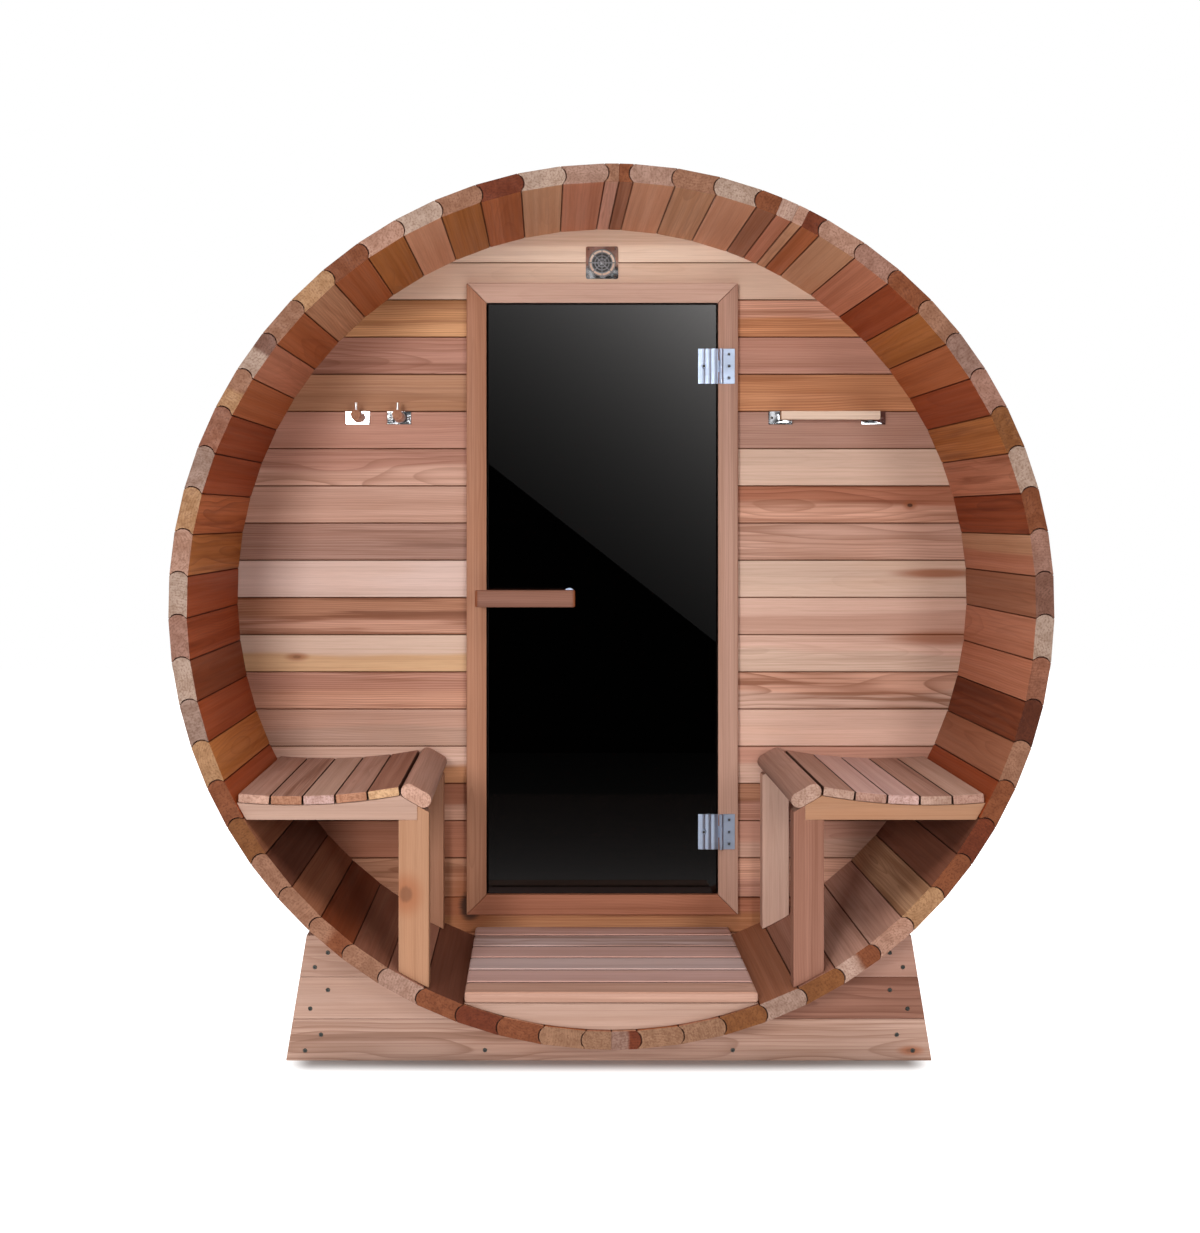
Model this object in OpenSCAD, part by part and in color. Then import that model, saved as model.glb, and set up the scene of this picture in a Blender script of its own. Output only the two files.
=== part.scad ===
// Barrel sauna: a barrel of wooden staves on two cradles, with an open porch in
// front and a glass door in its front wall. Millimetres. X is to the right as seen
// from the porch, Y runs into the barrel and Z is up. The origin is on the ground,
// under the middle of the barrel.

/* [Barrel] */
// Outer diameter across the corners of the staves
barrel_d = 1830; // [1750:10:2200]
// Length of the staves
barrel_l = 2400; // [1600:10:3600]
// Thickness of the staves
stave_t = 38; // [30:1:45]
// Height of a stave's rounded edge
bead_rise = 9; // [6:0.5:11]
// Flat shoulder on either side of a rounded edge
bead_shoulder = 0.8; // [0.4:0.1:2]
// Open joint between neighbouring staves
stave_gap = 0.4; // [0.2:0.1:0.8]
// Whole staves from the keel up the left side
left_staves = 31; // [24:1:40]
// Whole staves between the closing pair and the filler strips
crown_staves = 3; // [1:1:5]
// Whole staves from the filler strips down the right side
right_staves = 26; // [20:1:36]
// Height of the barrel's lowest corner above the ground
ground_clear = 67; // [40:1:75]

/* [Hoops] */
// Width of a hoop
hoop_w = 40; // [25:1:60]
// Thickness of a hoop
hoop_t = 1.5; // [1:0.1:3]
// Distance from the end of the staves to the middle of an outer hoop
hoop_inset = 260; // [200:5:400]
// Clock angle of the tighteners, from the top to the right
tightener_angle = 128; // [120:1:135]
// Height of a tightener lug above its hoop
lug_h = 22; // [16:1:30]
// Thickness of a tightener lug
lug_t = 6; // [4:1:10]
// Distance between the two lugs of a tightener
lug_space = 40; // [25:1:60]
// Diameter of a tightener bolt
tightener_bolt_d = 8; // [6:1:10]

/* [End walls] */
// Depth of the porch, from the end of the staves to the front wall
porch_depth = 500; // [420:5:800]
// Thickness of the end walls
wall_t = 38; // [28:1:60]
// Depth of the grooves that hold the end walls
croze_depth = 10; // [6:1:15]
// Distance of the rear wall's back face from the end of the staves
rear_recess = 50; // [30:1:150]

/* [Door frame] */
// Width of the opening between the casing boards
door_w = 554; // [500:1:640]
// Height of the opening's lower edge above the floor
sill_step = 80; // [72:1:140]
// Distance of the opening's upper edge below the barrel's inside top
head_drop = 179; // [179:1:320]
// Width of a casing board
casing_w = 48; // [40:1:50]
// Thickness of a casing board
casing_t = 20; // [16:1:26]
// Width of a jamb
jamb_w = 25; // [22:1:40]
// How far the jambs reach behind the edge of the glass as a stop
stop_lap = 15; // [10:1:20]

/* [Door] */
// Thickness of the glass
glass_t = 8; // [6:1:12]
// Clearance round the edge of the glass
glass_gap = 5; // [5:0.5:8]
// Clearance between the glass and the stop
stop_gap = 6; // [5:0.5:8]
// Height of a hinge
hinge_h = 84; // [60:1:110]
// Distance of a hinge's middle from the end of the opening
hinge_inset = 152; // [100:1:300]
// Distance of a hinge's pin past the side of the opening
hinge_offset = 7; // [6.5:0.5:10]
// Width of the hinge plate on the glass
glass_plate_w = 48; // [40:1:60]
// Width of the hinge plate on the casing
frame_plate_w = 28; // [20:1:28]
// Thickness of the hinge plates
hinge_plate_t = 3; // [2:0.5:4]
// Radius of a hinge knuckle
knuckle_r = 4.5; // [4:0.5:7]
// Radius of a hinge pin
pin_r = 2; // [1.5:0.1:2.5]
// Radial clearance of a hinge pin
pin_gap = 0.05; // [0.02:0.01:0.1]
// Space between neighbouring knuckles
knuckle_gap = 0.6; // [0.4:0.1:1.5]
// Height of the door handle above the floor
handle_rise = 792; // [700:1:1000]
// Length of the outer handle
handle_l = 236; // [200:1:300]
// Distance of the handle's free end past the edge of the glass
handle_reach = 30; // [0:1:40]
// Height of a handle
handle_h = 40; // [34:1:60]
// Depth of a handle
handle_t = 24; // [18:1:40]
// Rounding of the handle's ends
handle_round = 11; // [4:1:14]
// Distance of the inner handle's free end from the stop
inner_handle_inset = 22; // [15:1:40]
// Space between a handle and the glass
finger_gap = 38; // [30:1:60]
// Distance of the outer standoff from the edge of the glass
standoff_inset = 49; // [45:1:70]
// Distance between the standoffs
standoff_pitch = 144; // [100:1:150]
// Height of the standoffs above and below the middle of a handle
standoff_skew = 9; // [0:1:10]
// Radius of a standoff's stem
stem_r = 7; // [5:0.5:9]
// Radius of a standoff's rosette
rosette_r = 14; // [10:1:18]
// Thickness of a rosette
rosette_t = 5; // [3:1:8]
// Radius of the bolts through the glass
glass_bolt_r = 4; // [3:0.5:5]

/* [Vent, hooks and towel bar] */
// Side of the square vent plate
vent_w = 78; // [76:1:84]
// Distance of the vent's middle below the barrel's inside top
vent_drop = 80; // [75:1:84]
// Radius of the vent's hole in the wall
vent_hole_r = 24; // [16:1:26]
// Thickness of the vent plate
vent_t = 3; // [2:0.5:5]
// Rings in the vent grille
vent_rings = 4; // [2:1:5]
// Width of a wall plate of a hook or bracket
wall_plate_w = 58; // [40:1:70]
// Height of a wall plate
wall_plate_h = 32; // [28:1:45]
// Thickness of a wall plate
wall_plate_t = 4; // [2:1:8]
// Distance of the hooks and the towel bar below the barrel's inside top
hook_drop = 453; // [430:1:640]
// Distance of the hooks towards the door from the middle of the wall beside it
hook_shift = 8; // [-30:1:30]
// Distance between the two hooks
hook_pitch = 99; // [80:1:110]
// Diameter of a hook peg
peg_d = 24; // [16:1:28]
// Length of a hook peg
peg_l = 46; // [30:1:70]
// Diameter of the upright pin in a peg
peg_pin_d = 6; // [4:1:8]
// Height of the upright pin above its peg
peg_pin_h = 18; // [10:1:25]
// Distance of the towel bar towards the door from the middle of the wall beside it
towel_shift = 5; // [-20:1:20]
// Distance between the brackets of the towel bar
towel_pitch = 223; // [150:1:230]
// Side of the square towel bar
towel_bar_w = 20; // [14:1:24]
// Space between the towel bar and the wall
towel_gap = 34; // [25:1:50]
// Width of a bracket arm
towel_arm_w = 12; // [8:1:20]

/* [Floor] */
// Height of the floor above the barrel's inside bottom
floor_rise = 78; // [60:1:100]
// Thickness of a floor board
floor_t = 22; // [18:1:30]
// Width of a floor board
floor_board_w = 84; // [60:1:120]
// Space between floor boards
floor_gap = 3; // [2:0.5:8]
// Thickness of a floor bearer
bearer_t = 38; // [28:1:50]
// Bearers under the cabin floor
cabin_bearers = 4; // [2:1:8]
// Width of a batten between the bearers
batten_w = 38; // [28:1:50]
// Height of a batten
batten_h = 20; // [12:1:24]
// Distance of a batten's middle from the barrel's axis
batten_x = 190; // [120:1:200]

/* [Benches] */
// Height of the lowest slat's underside above the floor
seat_rise = 387; // [340:1:430]
// Radius of the seat's hollow
dish_r = 1270; // [1000:10:1800]
// Distance of the hollow's lowest line from the barrel's axis
dish_x = 660; // [600:5:700]
// Width of a slat
slat_w = 65; // [50:1:80]
// Thickness of a slat
slat_t = 19; // [15:1:25]
// Space between slats
slat_gap = 3; // [2:0.5:8]
// Space between the nose and the first slat
nose_gap = 2; // [1.5:0.5:6]
// Distance of the slats from the front wall
slat_wall_gap = 10; // [3:1:30]
// Width of the seat's nose
nose_w = 68; // [56:1:80]
// Thickness of the seat's nose
nose_t = 32; // [24:1:38]
// Slope of the seat's nose
nose_tilt = 30; // [20:1:40]
// Distance of the nose's middle from the barrel's axis
nose_x = 404; // [395:1:430]
// Height of the nose's middle above the lowest slat's underside
nose_rise = 20; // [14:1:30]
// Depth of a rail below the lowest slat
rail_drop = 30; // [20:1:60]
// Thickness of the rails and legs
rail_t = 38; // [28:1:45]
// Width of a leg
leg_w = 63; // [50:1:80]
// How far a leg stands out past the flat of the nose
leg_lead = 11; // [6:1:14]
// Width of the tongue at the top of a leg
tongue_w = 24; // [16:1:30]
// Distance of the bench's front from the end of the staves
bench_inset = 8; // [5:1:40]
// Distance of the rear rail from the front wall
rear_rail_inset = 20; // [5:1:80]

/* [Cradles] */
// Distance of a cradle's face from the end of the staves
cradle_inset = 120; // [60:5:195]
// Height of a cradle board
cradle_board_h = 90; // [75:1:95]
// Boards in the height of a cradle
cradle_boards = 3; // [2:1:3]
// Thickness of a cradle board
cradle_t = 38; // [30:1:50]
// Half the width of a cradle on the ground
cradle_half = 693; // [680:1:760]
// Lean of a cradle's ends
cradle_lean = 9.3; // [0:0.1:9.5]
// Width of a cleat
cleat_w = 89; // [60:1:100]
// Distance of a cleat from the end of the top board
cleat_inset = 12; // [5:1:20]

/* [Hidden] */
$fn = 64;
// Sides of the circles that are as large as the barrel
large_fn = 720;

// Clearance between pieces that seat on a curve
fit = 0.3;
// Hairline between boards that lie against each other
hairline = 0.3;
// Overlap of a cutting shape past the face that it cuts
over = 1;

// Barrel
outer_r = barrel_d / 2;
inner_r = outer_r - stave_t;
mid_r = outer_r - stave_t / 2;
axis_z = outer_r + ground_clear;
rim_y = -barrel_l / 2;
inside_top = axis_z + inner_r;
bead_half = stave_t / 2 - bead_shoulder;
bead_r = (bead_half * bead_half + bead_rise * bead_rise) / (2 * bead_rise);
bead_root = 3;
edge_inset = stave_gap / 2 / mid_r * 180 / PI;

// Kinds of stave edge
COVE = -1;
FLAT = 0;
BEAD = 1;

// Staves clockwise from the flat joint in the keel: share of a whole width, edge kinds
keel_share = 0.6;
closing_share = 0.34;
filler_shares = [0.5, 0.4, 0.26, 0.48];
stave_rows = concat(
    [[keel_share, FLAT, BEAD]],
    [for (i = [1:left_staves]) [1, COVE, BEAD]],
    [[closing_share, COVE, FLAT], [closing_share, FLAT, COVE]],
    [for (i = [1:crown_staves]) [1, BEAD, COVE]],
    [
        [filler_shares[0], BEAD, FLAT], [filler_shares[1], FLAT, FLAT],
        [filler_shares[2], FLAT, FLAT], [filler_shares[3], FLAT, COVE]
    ],
    [for (i = [1:right_staves]) [1, BEAD, COVE]],
    [[keel_share, BEAD, FLAT]]
);
stave_count = len(stave_rows);
function share_of(i) = i < stave_count ? stave_rows[i][0] : 0;
share_before = [for (i = 0, sum = 0; i <= stave_count; sum = sum + share_of(i), i = i + 1) sum];
full_turn = 360;
stave_pitch = full_turn / share_before[stave_count];

// Clock angles of the keel, where the staves start and where they end
keel_start = 180;
keel_end = keel_start + full_turn;
function seam_angle(i) = keel_start + stave_pitch * share_before[i];

// Clear cylinder inside the barrel, which the fittings are cut to
cavity_r = inner_r * cos(stave_pitch / 2) - fit;
croze_r = inner_r + croze_depth;

// Groups of staves, each given by the clock angles that it runs between
keel_half_angle = 19;
lower_angle = 62;
side_angle = 112;
crown_left_angle = 350;
crown_right_angle = full_turn + 30;

// Hoops
hoop_r = outer_r + fit;
hoop_ys = [rim_y + hoop_inset, 0, -rim_y - hoop_inset];
lug_base_r = hoop_r + hoop_t + fit;
tightener_reach = 12;

// Walls
wall_y = rim_y + porch_depth;
wall_back_y = wall_y + wall_t;
rear_wall_y = -rim_y - rear_recess - wall_t;
wall_r = croze_r - fit;

// Floor
floor_z = axis_z - inner_r + floor_rise;
floor_under_z = floor_z - floor_t;
floor_half = sqrt(cavity_r * cavity_r - (axis_z - floor_under_z) * (axis_z - floor_under_z));
floor_front_inset = 5;
least_rip = 40;

// Door frame
door_bottom = floor_z + sill_step;
door_top = inside_top - head_drop;
casing_half = door_w / 2 + casing_w;
casing_front_y = wall_y - casing_t;
glass_back_y = casing_front_y + glass_t;
stop_y = glass_back_y + stop_gap;
stop_half = door_w / 2 - stop_lap;
rough_half = stop_half + jamb_w;
rough_bottom = door_bottom + stop_lap - jamb_w;
rough_top = door_top - stop_lap + jamb_w;

// Door
glass_half = door_w / 2 - glass_gap;
glass_bottom = door_bottom + glass_gap;
glass_top = door_top - glass_gap;
knuckle_lift = 0.5;
hinge_x = door_w / 2 + hinge_offset;
hinge_y = casing_front_y - knuckle_lift - knuckle_r;
hinge_zs = [door_bottom + hinge_inset, door_top - hinge_inset];
glass_plate_end = glass_half + glass_gap;
glass_plate_start = glass_plate_end - glass_plate_w;
back_plate_end = stop_half - glass_gap;
glass_bolt_x = (glass_plate_start + back_plate_end) / 2;
flute_count = 3;
flute_rise = 2;
handle_z = floor_z + handle_rise;
handle_free_x = -glass_half - handle_reach;
inner_handle_free_x = -stop_half + inner_handle_inset;
standoff_xs = [-glass_half + standoff_inset, -glass_half + standoff_inset + standoff_pitch];
standoff_zs = [handle_z - standoff_skew, handle_z + standoff_skew];
bolt_hole_r = glass_bolt_r + fit;

// Vent
vent_z = inside_top - vent_drop;
vent_rim = 6.5;
vent_corner_r = 5;
grille_r = vent_w / 2 - vent_rim;
grille_bar = 2;
grille_spokes = 8;

// Hooks and towel bar
hook_z = inside_top - hook_drop;
hook_chord_half = sqrt(cavity_r * cavity_r - (hook_z - axis_z) * (hook_z - axis_z));
wall_middle_x = (casing_half + hook_chord_half) / 2;
hook_middle_x = wall_middle_x - hook_shift;
hook_xs = [-hook_middle_x + hook_pitch / 2, -hook_middle_x - hook_pitch / 2];
peg_tilt = 5;
peg_root = 6;
peg_pin_setback = 9;
towel_middle_x = wall_middle_x - towel_shift;
towel_xs = [towel_middle_x - towel_pitch / 2, towel_middle_x + towel_pitch / 2];
towel_bar_end = 6;
towel_lift = 3;

// Benches
seat_z = floor_z + seat_rise;
dish_z = seat_z + dish_r;
nose_z = seat_z + nose_rise;
nose_core = nose_w - nose_t;
slat_start_x = nose_x + nose_core / 2 * cos(nose_tilt) + nose_t / 2 + nose_gap;
slat_start_angle = asin((dish_x - slat_start_x) / dish_r);
seat_wall_x = sqrt(cavity_r * cavity_r - (axis_z - seat_z) * (axis_z - seat_z));
slat_end_angle = asin((dish_x - seat_wall_x) / dish_r);
slat_step = (slat_w + slat_gap) / dish_r * 180 / PI;
slat_count = round((slat_start_angle - slat_end_angle) / slat_step);
slat_bottom_r = sqrt(dish_r * dish_r - slat_w * slat_w / 4) - fit;
rail_z = seat_z - rail_drop;
leg_x = nose_x - nose_core / 2 * cos(nose_tilt) - leg_lead;
rail_x = leg_x + tongue_w;
bench_y = rim_y + bench_inset;
slat_l = porch_depth - bench_inset - slat_wall_gap;
rail_ys = [bench_y, wall_y - rear_rail_inset - rail_t];

// Cradles
cradle_h = cradle_boards * cradle_board_h;
cradle_cut_r = outer_r + fit;
cradle_ys = [rim_y + cradle_inset, -rim_y - cradle_inset - cradle_t];
cleat_ys = [rim_y + cradle_inset + cradle_t, -rim_y - cradle_inset - 2 * cradle_t];
cleat_end = cradle_half - cradle_h * tan(cradle_lean) - cleat_inset;

// Shared shapes

// A cylinder round the barrel's axis, from one Y to another
module axis_cylinder(r, y0, y1) {
    translate([0, y1, axis_z]) rotate([90, 0, 0]) cylinder(r = r, h = y1 - y0, $fn = large_fn);
}

// A flat outline in X and Z, drawn out from one Y to another
module upright(y0, y1) {
    translate([0, y1, 0]) rotate([90, 0, 0]) linear_extrude(y1 - y0) children();
}

// A box given by its lowest and highest corners
module block(low, high) {
    translate(low) cube(high - low);
}

// A round bar along Y
module y_bar(r, x, z, y0, y1) {
    translate([x, y1, z]) rotate([90, 0, 0]) cylinder(r = r, h = y1 - y0);
}

// Staves

function clock_point(r, angle) = [r * sin(angle), r * cos(angle)];

// The rounded edge of a stave: side is 1 where it faces clockwise and -1 where it faces back
module edge_bead(angle, side) {
    rotate(-angle) translate([0, mid_r]) intersection() {
        translate([-side * (bead_r - bead_rise), 0]) circle(bead_r);
        translate([side * (bead_rise + over - bead_root) / 2, 0])
            square([bead_rise + over + bead_root, 2 * bead_half], center = true);
    }
}

// The hollow that a neighbour's rounded edge sits in
module edge_cove(angle, side) {
    rotate(-angle) translate([-side * (bead_r - bead_rise), mid_r]) circle(bead_r + stave_gap);
}

module stave_outline(start, end, trailing, leading) {
    difference() {
        union() {
            polygon([
                clock_point(inner_r, start + edge_inset), clock_point(outer_r, start + edge_inset),
                clock_point(outer_r, end - edge_inset), clock_point(inner_r, end - edge_inset)
            ]);
            if (trailing == BEAD) edge_bead(start, -1);
            if (leading == BEAD) edge_bead(end, 1);
        }
        if (trailing == COVE) edge_cove(start, 1);
        if (leading == COVE) edge_cove(end, -1);
    }
}

// One stave with the grooves for both end walls
module stave(i) {
    difference() {
        translate([0, 0, axis_z]) rotate([90, 0, 0]) linear_extrude(barrel_l, center = true)
            stave_outline(seam_angle(i), seam_angle(i + 1), stave_rows[i][1], stave_rows[i][2]);
        axis_cylinder(croze_r, wall_y - fit, wall_back_y + fit);
        axis_cylinder(croze_r, rear_wall_y - fit, rear_wall_y + wall_t + fit);
    }
}

// The staves whose middles lie between two clock angles, counted on from the keel
module stave_group(start, end) {
    for (i = [0:stave_count - 1]) {
        middle = (seam_angle(i) + seam_angle(i + 1)) / 2;
        if (middle >= start && middle < end) stave(i);
    }
}

module staves_keel() {
    color("sienna") {
        stave_group(keel_start, keel_start + keel_half_angle);
        stave_group(keel_end - keel_half_angle, keel_end);
    }
}

module staves_lower_left() {
    color("peru") stave_group(keel_start + keel_half_angle, keel_start + lower_angle);
}

module staves_left() { color("sienna") stave_group(keel_start + lower_angle, keel_start + side_angle); }
module staves_upper_left() { color("peru") stave_group(keel_start + side_angle, crown_left_angle); }
module staves_crown() { color("sienna") stave_group(crown_left_angle, crown_right_angle); }
module staves_upper_right() { color("peru") stave_group(crown_right_angle, keel_end - side_angle); }
module staves_right() { color("sienna") stave_group(keel_end - side_angle, keel_end - lower_angle); }

module staves_lower_right() {
    color("peru") stave_group(keel_end - lower_angle, keel_end - keel_half_angle);
}

// Hoops

module hoops() {
    color("silver") for (y = hoop_ys) difference() {
        axis_cylinder(hoop_r + hoop_t, y - hoop_w / 2, y + hoop_w / 2);
        axis_cylinder(hoop_r, y - hoop_w / 2 - over, y + hoop_w / 2 + over);
    }
}

// Two lugs and the bolt that draws them together, standing on each hoop
module hoop_tighteners() {
    bolt_l = lug_space + 2 * (lug_t + tightener_reach);
    color("silver") for (y = hoop_ys)
        translate([0, y, axis_z]) rotate([0, tightener_angle, 0]) translate([0, 0, lug_base_r]) {
            for (side = [-1, 1])
                translate([side * (lug_space + lug_t) / 2, 0, lug_h / 2])
                    cube([lug_t, hoop_w, lug_h], center = true);
            translate([0, 0, lug_h / 2]) rotate([0, 90, 0])
                cylinder(d = tightener_bolt_d, h = bolt_l, center = true);
        }
}

// End walls

// The part of the front wall between two X and two Z
module front_wall_piece(x0, x1, z0, z1) {
    intersection() {
        axis_cylinder(wall_r, wall_y, wall_back_y);
        block([x0, wall_y - over, z0], [x1, wall_back_y + over, z1]);
    }
}

module front_wall_left() {
    color("burlywood") front_wall_piece(-outer_r, -rough_half - hairline, rough_bottom, rough_top);
}

module front_wall_right() {
    color("burlywood") front_wall_piece(rough_half + hairline, outer_r, rough_bottom, rough_top);
}

module front_wall_top() {
    color("tan") difference() {
        front_wall_piece(-outer_r, outer_r, rough_top + hairline, inside_top + stave_t);
        y_bar(vent_hole_r, 0, vent_z, wall_y - over, wall_back_y + over);
    }
}

module front_wall_bottom() {
    color("tan") front_wall_piece(-outer_r, outer_r, 0, rough_bottom - hairline);
}

module rear_wall() { color("burlywood") axis_cylinder(wall_r, rear_wall_y, rear_wall_y + wall_t); }

// Door frame

// A square ring round the doorway
module frame_ring(y0, y1, hole_half, hole_bottom, hole_top, width) {
    difference() {
        block([-hole_half - width, y0, hole_bottom - width], [hole_half + width, y1, hole_top + width]);
        block([-hole_half, y0 - over, hole_bottom], [hole_half, y1 + over, hole_top]);
    }
}

// The casing round the doorway, with the jamb that lines it and stops the glass
module frame_section() {
    frame_ring(casing_front_y, wall_y, door_w / 2, door_bottom, door_top, casing_w);
    frame_ring(stop_y, wall_back_y, stop_half, door_bottom + stop_lap, door_top - stop_lap, jamb_w);
}

// One side of the frame, cut off at the mitres
module frame_side(side) {
    low = door_bottom - casing_w;
    high = door_top + casing_w;
    color("rosybrown") intersection() {
        frame_section();
        upright(casing_front_y - over, wall_back_y + over) polygon([
            [side * casing_half, low + hairline], [side * casing_half, high - hairline],
            [0, high - hairline - casing_half], [0, low + hairline + casing_half]
        ]);
    }
}

// The head or the sill of the frame, cut off at the mitres
module frame_bar(edge, inward) {
    color("rosybrown") intersection() {
        frame_section();
        upright(casing_front_y - over, wall_back_y + over)
            polygon([[-casing_half, edge], [casing_half, edge], [0, edge + inward * casing_half]]);
    }
}

module door_frame_left() { frame_side(-1); }
module door_frame_right() { frame_side(1); }
module door_frame_head() { frame_bar(door_top + casing_w, -1); }
module door_frame_sill() { frame_bar(door_bottom - casing_w, 1); }

// Door

module door_glass() {
    color("dimgray") difference() {
        block([-glass_half, casing_front_y, glass_bottom], [glass_half, glass_back_y, glass_top]);
        for (z = hinge_zs) y_bar(bolt_hole_r, glass_bolt_x, z, casing_front_y - over, glass_back_y + over);
        for (i = [0:1])
            y_bar(bolt_hole_r, standoff_xs[i], standoff_zs[i], casing_front_y - over, glass_back_y + over);
    }
}

// A handle bar seen from above: its front corners are rounded, and depth points away from the glass
module handle_plan(length) {
    square([length, handle_t - handle_round]);
    translate([handle_round, 0]) square([length - 2 * handle_round, handle_t]);
    for (x = [handle_round, length - handle_round])
        translate([x, handle_t - handle_round]) circle(handle_round);
}

module door_handle() {
    color("tan") translate([handle_free_x, casing_front_y - finger_gap, handle_z - handle_h / 2])
        mirror([0, 1, 0]) linear_extrude(handle_h) handle_plan(handle_l);
}

module inner_handle() {
    color("tan") translate([inner_handle_free_x, glass_back_y + finger_gap, handle_z - handle_h / 2])
        linear_extrude(handle_h) handle_plan(handle_free_x + handle_l - inner_handle_free_x);
}

// Stems, rosettes and the bolts that clamp them through the glass
module handle_standoffs() {
    color("silver") for (i = [0:1]) {
        y_bar(stem_r, standoff_xs[i], standoff_zs[i], casing_front_y - finger_gap, casing_front_y);
        y_bar(rosette_r, standoff_xs[i], standoff_zs[i], casing_front_y - rosette_t, casing_front_y);
        y_bar(glass_bolt_r, standoff_xs[i], standoff_zs[i], casing_front_y - over, glass_back_y + over);
        y_bar(rosette_r, standoff_xs[i], standoff_zs[i], glass_back_y, glass_back_y + rosette_t);
        y_bar(stem_r, standoff_xs[i], standoff_zs[i], glass_back_y, glass_back_y + finger_gap);
    }
}

// The heights between which a knuckle of a hinge lies: 0 is the lowest of three
function knuckle_low(z, i) = z - hinge_h / 2 + i * hinge_h / 3 + (i > 0 ? knuckle_gap / 2 : 0);
function knuckle_high(z, i) = z - hinge_h / 2 + (i + 1) * hinge_h / 3 - (i < 2 ? knuckle_gap / 2 : 0);

module knuckle(z, i, r) {
    translate([hinge_x, hinge_y, knuckle_low(z, i)])
        cylinder(r = r, h = knuckle_high(z, i) - knuckle_low(z, i));
}

// Fluted plates that clamp the glass, each with the middle knuckle of its hinge
module glass_hinges() {
    flute_pitch = (glass_plate_w - 2 * hinge_plate_t) / flute_count;
    flute_r = (flute_pitch * flute_pitch / 4 + flute_rise * flute_rise) / (2 * flute_rise);
    plate_front_y = casing_front_y - hinge_plate_t;
    color("lightsteelblue") for (z = hinge_zs) difference() {
        union() {
            block([glass_plate_start, plate_front_y, z - hinge_h / 2],
                [glass_plate_end, casing_front_y, z + hinge_h / 2]);
            for (i = [0:flute_count - 1]) intersection() {
                translate([
                    glass_plate_start + hinge_plate_t + (i + 0.5) * flute_pitch,
                    plate_front_y + flute_r - flute_rise, z
                ]) cylinder(r = flute_r, h = hinge_h, center = true);
                block([glass_plate_start, plate_front_y - flute_rise - over, z - hinge_h / 2],
                    [glass_plate_end, casing_front_y - over, z + hinge_h / 2]);
            }
            block([glass_plate_end - over, plate_front_y, knuckle_low(z, 1)],
                [hinge_x, casing_front_y - knuckle_lift, knuckle_high(z, 1)]);
            knuckle(z, 1, knuckle_r);
            y_bar(glass_bolt_r, glass_bolt_x, z, casing_front_y - over, glass_back_y + over);
            block([glass_plate_start, glass_back_y, z - hinge_h / 2],
                [back_plate_end, glass_back_y + hinge_plate_t, z + hinge_h / 2]);
        }
        translate([hinge_x, hinge_y, z]) cylinder(r = pin_r + pin_gap, h = hinge_h, center = true);
    }
}

// Plates on the casing, each with two knuckles and the pin of its hinge
module frame_hinges() {
    plate_front_y = casing_front_y - hinge_plate_t;
    plate_start = hinge_x + knuckle_r;
    color("lightsteelblue") for (z = hinge_zs) {
        block([plate_start, plate_front_y, z - hinge_h / 2],
            [plate_start + frame_plate_w, casing_front_y, z + hinge_h / 2]);
        for (i = [0, 2]) {
            knuckle(z, i, knuckle_r);
            block([hinge_x, plate_front_y, knuckle_low(z, i)],
                [plate_start + over, casing_front_y - knuckle_lift, knuckle_high(z, i)]);
        }
        translate([hinge_x, hinge_y, z]) cylinder(r = pin_r, h = hinge_h, center = true);
    }
}

// Vent

module vent_plate() {
    reach = vent_w / 2 - vent_corner_r;
    color("gray") upright(wall_y - vent_t, wall_y) translate([0, vent_z]) difference() {
        union() {
            square([vent_w, 2 * reach], center = true);
            square([2 * reach, vent_w], center = true);
            for (x = [-reach, reach], z = [-reach, reach]) translate([x, z]) circle(vent_corner_r);
        }
        circle(grille_r + fit);
    }
}

// Rings and spokes that close the vent
module vent_grille() {
    ring_step = 2 * grille_r / (2 * vent_rings + 1);
    color("gainsboro") upright(wall_y - vent_t, wall_y) translate([0, vent_z]) {
        circle(ring_step / 2);
        for (i = [0:vent_rings - 1]) difference() {
            circle(grille_r - i * ring_step);
            circle(grille_r - i * ring_step - grille_bar);
        }
        for (i = [0:grille_spokes / 2 - 1]) rotate(i * full_turn / grille_spokes)
            square([2 * grille_r - grille_bar, grille_bar], center = true);
    }
}

// Robe hooks and towel bar

module wall_plates(xs) {
    for (x = xs)
        block([x - wall_plate_w / 2, wall_y - wall_plate_t, hook_z - wall_plate_h / 2],
            [x + wall_plate_w / 2, wall_y, hook_z + wall_plate_h / 2]);
}

module robe_hook_plates() { color("lightgray") wall_plates(hook_xs); }

// Pegs that lean up a little, each with an upright pin near its end
module robe_hook_pegs() {
    color("sienna") for (x = hook_xs) difference() {
        translate([x, wall_y - wall_plate_t, hook_z]) rotate([90 - peg_tilt, 0, 0]) {
            translate([0, 0, -peg_root]) cylinder(d = peg_d, h = peg_l + peg_root);
            translate([0, 0, peg_l - peg_pin_setback]) rotate([-90, 0, 0])
                cylinder(d = peg_pin_d, h = peg_d / 2 + peg_pin_h);
        }
        block([x - peg_d, wall_y - wall_plate_t, hook_z - peg_d],
            [x + peg_d, wall_y + peg_d, hook_z + peg_d]);
    }
}

module towel_bar_brackets() {
    color("lightgray") {
        wall_plates(towel_xs);
        for (x = towel_xs)
            block([x - towel_arm_w / 2, wall_y - towel_gap, hook_z + towel_lift - towel_bar_w / 2],
                [x + towel_arm_w / 2, wall_y - wall_plate_t + over, hook_z + towel_lift + towel_bar_w / 2]);
    }
}

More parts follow.
